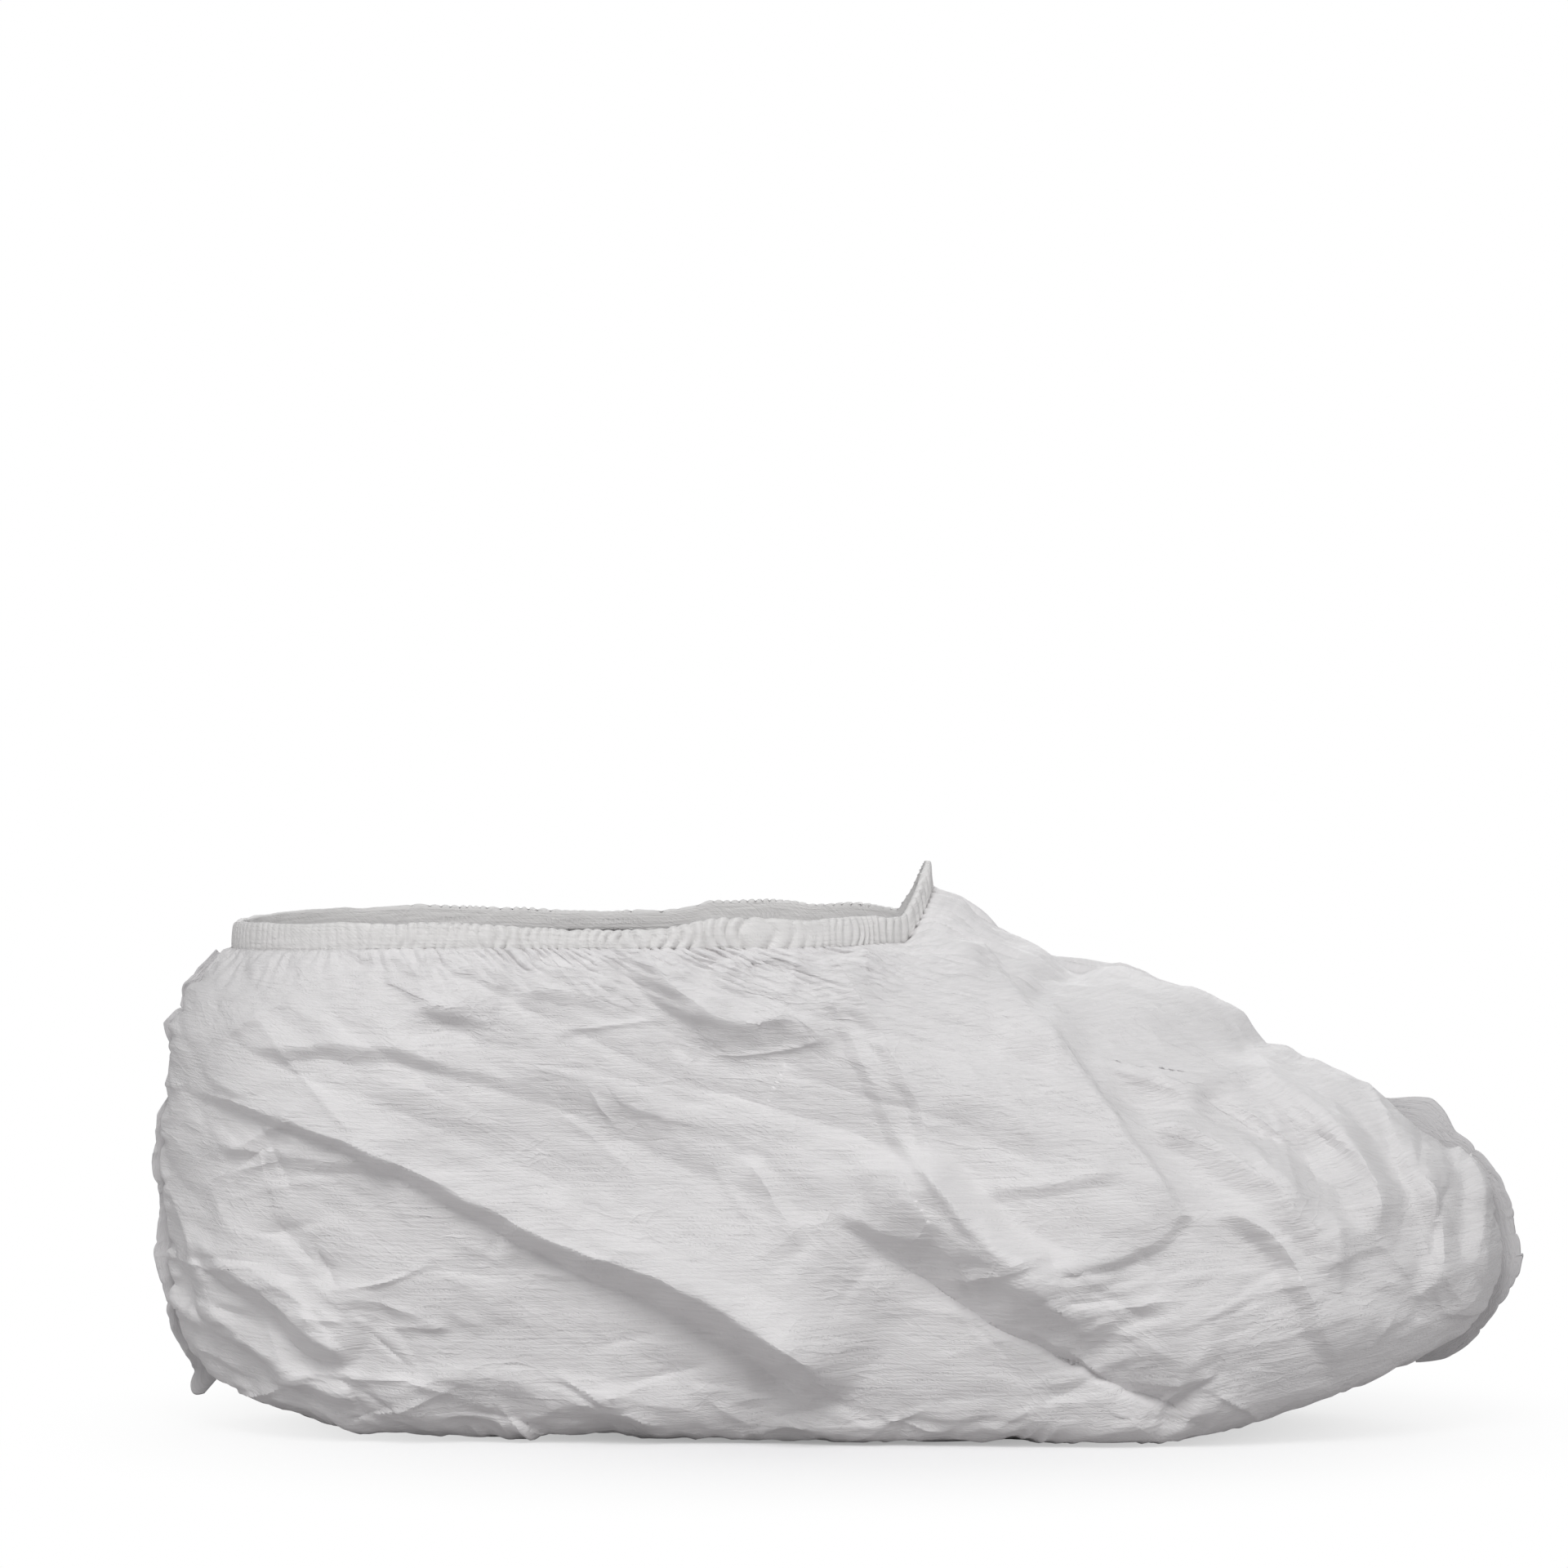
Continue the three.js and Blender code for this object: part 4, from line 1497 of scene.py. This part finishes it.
# each row: name, kind, path, height, above, below, and what differs from the usual; a flap's: name, corners,
# height, edge
NEAR_FOLDS = (
    # the heel
    Fold(
        "heel_to_sole", SWAG,
        (
            (-153, 80), (-138, 78), (-121, 74), (-108, 69), (-95, 62.5), (-82, 56), (-70, 50), (-58, 44.5),
            (-46, 41), (-31, 35), (-18, 28), (-7, 21), (4, 12.5),
        ),
        2.1, 22, 1.6, start_fade=0.1, end_fade=0.12, widen=7,
    ),
    Fold(
        "heel_tuck", CREASE, ((-150, 67.5), (-136, 67.5), (-122, 65.5), (-110, 65), (-99, 65.5)),
        1.9, 5, 2.5, start_fade=0.3, end_fade=0.1,
    ),
    Fold(
        "heel_low", SWAG,
        ((-151, 47.5), (-142, 43.5), (-134, 38.5), (-126, 32.5), (-118, 26.5), (-108, 21)),
        3.6, 9, 4, lean=0.6, start_fade=0.25, end_fade=0.15, widen=1.5,
    ),
    Fold(
        "heel_corner", SWAG, ((-150, 34.5), (-141, 28), (-134, 22.5), (-121, 15), (-106, 10)),
        2.6, 5, 3.4,
    ),
    Fold(
        "sole_arch", CREASE, ((-106, 9.5), (-96, 13.5), (-85, 15.5), (-74, 14.5), (-60, 12), (-45, 8.5)),
        1.5, 4, 4,
    ),
    Fold("heel_elbow", CREASE, ((-130, 51.5), (-124, 46.5), (-118, 39.5), (-115, 35)), -1, 3, 3),
    Fold("heel_elbow_run", CREASE, ((-116, 35), (-103, 32.5), (-94, 29.5), (-87, 26.5)), 1.6, 4, 2),
    Fold("tick", CREASE, ((-69, 48), (-70, 43.5), (-71.5, 39.5)), 1.2, 2, 2, start_fade=0.3, end_fade=0.3),
    Fold("tick_tail", CREASE, ((-62, 44.5), (-57, 32.5), (-52, 22.5), (-48, 15.5)), 0.7, 3, 2.5),
    # behind the ankle
    Fold(
        "ankle_drape", SWAG,
        ((-140, 90.5), (-127, 91), (-114, 91.5), (-103, 91), (-92, 88.5), (-79, 85), (-64, 81)),
        1.8, 9, 2.6, lean=0.4, start_fade=0.25, end_fade=0.5,
    ),
    Fold(
        "drape_tail", SOFT, ((-80, 88), (-64, 85.5), (-50, 83), (-38, 80)),
        1.2, 8, 5, start_fade=0.3, end_fade=0.3,
    ),
    Fold("chevron_back", CREASE, ((-138, 106), (-130, 111), (-121, 115), (-110, 115)), 0.9, 3, 4),
    Fold("chevron_front", CREASE, ((-112, 109), (-102, 105), (-92, 101.5), (-84, 99)), 0.9, 3, 4),
    Fold(
        "lobe_pocket", SWAG, ((-99, 99), (-92, 100.5), (-84, 100), (-78, 97)),
        1.8, 5, 3.5, start_fade=0.2, end_fade=0.4,
    ),
    Fold("hem_swag", CREASE, ((-73, 105.5), (-63, 104.5), (-54, 102), (-46, 98.5)), 1.4, 6, 3),
    Fold("hem_tuck", CREASE, ((-70, 111), (-63, 110), (-56, 107)), 1, 3, 3),
    # below the hem, behind the flap
    Fold(
        "hem_wedge", SWAG, ((-47, 115), (-40, 108), (-35, 103), (-27, 97)),
        4.2, 8, 5.4, lean=0.5, start_fade=0.2, end_fade=0.25,
    ),
    Fold(
        "wedge_foot", SWAG, ((-33, 99.5), (-22, 97), (-13, 99), (-6, 96), (-1, 90)),
        3.6, 8, 7, lean=0.5, start_fade=0.1, end_fade=0.3,
    ),
    Fold("apron_edge", CREASE, ((-22, 67.5), (-17, 60.5), (-12, 52.5), (-7, 45.5)), 1.9, 3, 6),
    Fold("apron_foot", CREASE, ((-9, 49.5), (-4, 51.5), (1, 54)), 1, 3, 3),
    # the flap over the instep
    FlatFlap(
        "flap",
        (
            (-20, 112), (-6, 106), (4, 87), (12, 69.5), (20, 61.5), (28, 52.5), (38, 44.5), (46, 40),
            (62, 42), (72, 46), (80, 52), (73, 60.5), (62, 74), (51, 89), (42, 101), (34, 112),
        ),
        2, 3,
    ),
    Fold("flap_roll", SWAG, ((-4, 112), (4, 101), (12, 89), (18, 77), (21, 65.5)), 1.7, 5, 2.6),
    Fold("flap_level", CREASE, ((31, 58.5), (44, 60), (54, 61), (64, 61.5)), 1.5, 4, 2.2),
    Fold("flap_front", SWAG, ((42, 101), (48, 93), (56, 82), (64, 72), (72, 61), (80, 51.5)), 2, 6, 16),
    Fold(
        "flap_foot", SWAG, ((12, 69), (20, 61.5), (28, 52.5), (37, 44.5), (46, 38.5), (56, 37.5), (70, 42)),
        7, 7.5, 11, lean=0.8, start_fade=0.2, end_fade=0.4,
    ),
    Fold("pinch", SWAG, ((42, 101), (47, 104), (54, 107), (62, 110)), -2, 4, 4),
    Fold("hem_lens", CREASE, ((-3, 116), (8, 116.5), (18, 115), (27, 111), (35, 107)), 1.5, 3, 3.5),
    # the recess below the flap
    Fold("recess_top", CREASE, ((3, 61.5), (10, 62.5), (19, 63)), 2.6, 3, 7),
    Fold("recess_shelf", CREASE, ((-1, 54), (6, 51), (14, 48.5), (24, 47.5)), 1.6, 4, 2.4),
    Fold("recess_post", CREASE, ((24, 54), (26.5, 46), (27.5, 39), (28.5, 32)), 0.9, 2, 2),
    Fold(
        "front_lip", SWAG,
        ((-1, 53), (10, 44.5), (20, 38), (28, 32.5), (38, 27), (50, 20), (58, 16), (68, 11), (81, 5)),
        -5, 12, 22, start_fade=0.15, end_fade=0.05,
    ),
    Fold(
        "front_lip_line", CREASE,
        ((8, 47), (18, 39.8), (28, 33), (38, 27), (50, 20.5), (60, 15.5), (70, 10.5), (80, 5.5)),
        -1.7, 5, 1.3, start_fade=0.3, end_fade=0.05,
    ),
    # the toe
    Fold(
        "toe_low_lip", SWAG, ((84, 53.5), (92, 52), (99, 47), (104.5, 38.5), (109, 29.5), (113, 18.5)),
        3.4, 14, 2.6, lean=0.4, start_fade=0.25,
    ),
    Fold("toe_top_crease", CREASE, ((56, 88.5), (66, 85.5), (78, 83), (88, 82), (97, 85)), 1.1, 5, 3.2),
    Fold(
        "toe_broad_valley", SWAG, ((80, 80), (92, 74.5), (104, 66.5), (113, 57.5), (117.5, 48.5)),
        -2.6, 5, 6,
    ),
    Fold(
        "toe_broad_ridge", SWAG, ((68, 75), (82, 70), (92, 62.5), (101, 54.5), (110, 46.5), (116, 37.5)),
        3, 8, 4,
    ),
    Fold("toe_foot", CREASE, ((109, 34.5), (114, 36), (120, 36)), 1, 3, 2),
    Fold("toe_ridge_a", SWAG, ((91, 85), (103, 77), (113, 67.5), (120, 56.5), (122, 45.5)), 3, 7, 2.4),
    Fold(
        "toe_ridge_b", SWAG,
        ((103, 88), (112, 80.5), (122, 73), (131, 63.5), (136.5, 52.5), (138, 41.5), (133, 30.5)),
        3.3, 7, 2.6, start_fade=0.25,
    ),
    Fold(
        "toe_ridge_c", SWAG, ((126, 77.5), (135, 73), (142, 66), (146, 57.5), (147.5, 47.5), (143, 35.5)),
        2.8, 5, 2.2, start_fade=0.25,
    ),
    Fold("toe_line_low", CREASE, ((120, 40), (127, 37), (134, 35)), 0.9, 3, 2),
)
FAR_FOLDS = (
    Fold(
        "heel_to_waist", SWAG,
        (
            (-151, 66), (-132, 64), (-112, 60), (-92, 54), (-72, 47), (-52, 40), (-34, 31), (-16, 21),
            (-2, 12),
        ),
        2, 20, 1.8, start_fade=0.3, end_fade=0.12, widen=6,
    ),
    Fold(
        "heel_line", CREASE, ((-150, 52), (-138, 50), (-124, 49), (-108, 50)),
        1.4, 4, 2.5, start_fade=0.3, end_fade=0.2,
    ),
    Fold(
        "heel_low", SWAG, ((-151, 40), (-140, 36), (-128, 29), (-114, 20)),
        3.2, 8, 4.5, lean=0.5, start_fade=0.25, end_fade=0.2, widen=1.4,
    ),
    Fold("sole_back", CREASE, ((-112, 12), (-94, 15), (-76, 14), (-58, 10)), 1.4, 4, 4),
    Fold(
        "ankle_drape", SWAG, ((-142, 94), (-124, 89), (-106, 86), (-88, 85.5), (-70, 88), (-54, 94)),
        1.8, 9, 3, lean=0.4, start_fade=0.25, end_fade=0.4,
    ),
    Fold("ankle_fold", CREASE, ((-128, 104), (-112, 102), (-96, 98), (-82, 93)), 1.2, 4, 2.5),
    Fold(
        "hem_wedge", SWAG, ((-62, 114), (-54, 106), (-44, 98), (-32, 91)),
        3.4, 8, 5, lean=0.5, start_fade=0.2, end_fade=0.3,
    ),
    Fold(
        "hem_fall", SWAG, ((-24, 112), (-14, 101), (-6, 88), (0, 74)),
        2.4, 7, 4, start_fade=0.2, end_fade=0.3,
    ),
    Fold("body_line", CREASE, ((-62, 69), (-46, 62), (-34, 54)), 1, 4, 3),
    Fold("instep_fall", SWAG, ((30, 114), (38, 102), (46, 88), (55, 73), (63, 58), (69, 44)), 2.2, 6, 12),
    Fold(
        "instep_foot", SWAG, ((14, 62), (24, 54), (36, 46), (50, 42), (66, 46)),
        4.5, 7, 9, lean=0.5, start_fade=0.2, end_fade=0.4,
    ),
    Fold(
        "waist_lip", SWAG, ((-4, 50), (10, 42), (24, 34), (38, 27), (54, 18), (70, 10)),
        -4, 11, 18, start_fade=0.15, end_fade=0.08,
    ),
    Fold("waist_line", CREASE, ((30, 30), (44, 22), (58, 15), (72, 8)), -1.4, 2.5, 2.5),
    Fold("toe_swag", SWAG, ((74, 86), (88, 78), (100, 67), (109, 54), (114, 40)), 2.4, 8, 5),
    Fold("toe_pleat_a", SWAG, ((96, 88), (108, 79), (118, 67), (125, 54), (126, 42)), 1.8, 7, 2.4),
    Fold("toe_pleat_b", SWAG, ((110, 86), (121, 77), (131, 66), (137, 53), (137, 40)), 2, 6, 2.4),
    Fold("toe_low", CREASE, ((96, 44), (103, 36), (108, 27), (111, 19)), 1.6, 4, 2),
)
# each row: name, middle, reach, count, angle, spread, length, height, and width where it differs
NEAR_CREASES = (
    CreaseField("gathers", (-34, 112), (62, 3), 30, 84, 26, 11, 0.7),
    CreaseField("heel_edge", (-140, 72), (14, 36), 22, -6, 24, 18, 0.8),
    CreaseField("heel_low", (-128, 27), (26, 18), 38, -32, 26, 18, 1.15),
    CreaseField("sole_back", (-96, 10), (50, 7), 40, -6, 18, 18, 1.0),
    CreaseField("sole_front", (20, 9), (74, 7), 40, 4, 16, 18, 0.9),
    CreaseField("body", (-66, 70), (60, 24), 18, -24, 26, 26, 0.6),
    CreaseField("below_heel_fold", (-76, 38), (44, 14), 20, -28, 34, 16, 0.7),
    CreaseField("hem_back", (-100, 100), (40, 9), 8, -10, 40, 14, 0.6),
    CreaseField("waist", (-30, 88), (26, 14), 14, -35, 30, 16, 0.7),
    CreaseField("flap_face", (36, 76), (22, 24), 8, -55, 30, 22, 0.5),
    CreaseField("flap_foot", (50, 32), (22, 12), 24, -22, 32, 20, 0.8),
    CreaseField("front_low", (84, 30), (36, 20), 70, 19, 6, 20, 0.22, 0.5),
    CreaseField("front_low_large", (80, 30), (34, 16), 8, 14, 24, 24, 0.28),
    CreaseField("instep", (66, 88), (26, 12), 12, -35, 22, 20, 0.6),
    CreaseField("toe", (118, 60), (24, 24), 26, -50, 16, 24, 0.8),
    CreaseField("toe_end", (140, 46), (12, 24), 20, -75, 25, 16, 0.8),
    CreaseField("toe_low", (128, 28), (18, 8), 16, 20, 30, 12, 0.8),
)
FAR_CREASES = (
    CreaseField("heel_edge", (-136, 72), (20, 36), 16, 0, 14, 22, 0.9),
    CreaseField("heel_low", (-120, 26), (30, 18), 18, -24, 22, 22, 1),
    CreaseField("sole", (-20, 13), (110, 8), 30, 0, 14, 26, 0.83),
    CreaseField("body", (-40, 66), (80, 30), 26, -20, 26, 26, 0.68),
    CreaseField("instep", (44, 76), (34, 24), 20, -42, 24, 22, 0.75),
    CreaseField("toe", (116, 54), (30, 28), 30, -45, 18, 24, 0.75),
)
SEAMS = (
    SeamAllowance(
        SeamEnd.HEEL,
        ((0.25, 2.2), (0.3, 2.4), (0.4, 2.7), (0.48, 2.3), (0.56, 1.1), (0.65, 0.7), (0.97, 0.5)),
        tab=2.8, seed=41, flutter=0.9, crimp=0.2,
    ),
    SeamAllowance(
        SeamEnd.TOE,
        (
            (0.2, 1.6), (0.232, 3.4), (0.314, 2.9), (0.378, 4.2), (0.424, 6.0), (0.5, 5.6), (0.553, 5.0),
            (0.614, 4.9), (0.66, 6.6), (0.68, 7.8), (0.69, 7.0), (0.706, 3.2), (0.72, 1.8), (0.76, 1.0),
        ),
        tab=0.0, seed=51, flutter=0.8, crimp=0.05,
    ),
)


CLOTH = Nonwoven("nonwoven", (0.87, 0.855, 0.857), (0.755, 0.742, 0.745))
HEM_CLOTH = Nonwoven("nonwoven_hem", (0.86, 0.848, 0.84), (0.78, 0.77, 0.76), crinkle=0.08)
# the seam allowances are the panels' own white cloth; their darker grey is painted shade, for the shade on
# the strip that stands out of the seam's groove
SHADED_SEAM_CLOTH = Nonwoven("nonwoven_seam", (0.72, 0.708, 0.71), (0.6, 0.59, 0.6), crinkle=0.1)
PANELS = (SidePanel(Side.NEAR, NEAR_FOLDS, NEAR_CREASES, 5), SidePanel(Side.FAR, FAR_FOLDS, FAR_CREASES, 9))


def placed(piece: bpy.types.Object, node: str, finish: bpy.types.Material) -> bpy.types.Object:
    """Gives a piece its finish, and its place in the frame.

    Args:
        piece: The piece.
        node: The CAD node that it stands for.
        finish: Its material.

    Returns:
        The piece.
    """
    piece.data.materials.append(finish)
    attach(piece, "root")
    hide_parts(node)
    LOG.info("%s is made", piece.name)
    return piece


def main() -> None:
    """Builds the cover: the panels, and then the hem and the seam allowances that edge them."""
    logging.basicConfig(level=logging.INFO, format="%(message)s")
    Studio().build()
    cloth, hem_cloth, seam_cloth_painted_shade = (finish.build() for finish in (CLOTH, HEM_CLOTH, SHADED_SEAM_CLOTH))
    sheets = [
        placed(panel.build(), f"{panel.side.name.lower()}_panel", cloth) for panel in PANELS
    ]
    edging = [placed(ElasticHem().build(), "opening_hem", hem_cloth)]
    # the seam allowances get the cloth whose darker grey is painted shade
    edging += [
        placed(seam.build(), f"{seam.end.name.lower()}_seam", seam_cloth_painted_shade) for seam in SEAMS
    ]


if __name__ == "__main__":
    main()
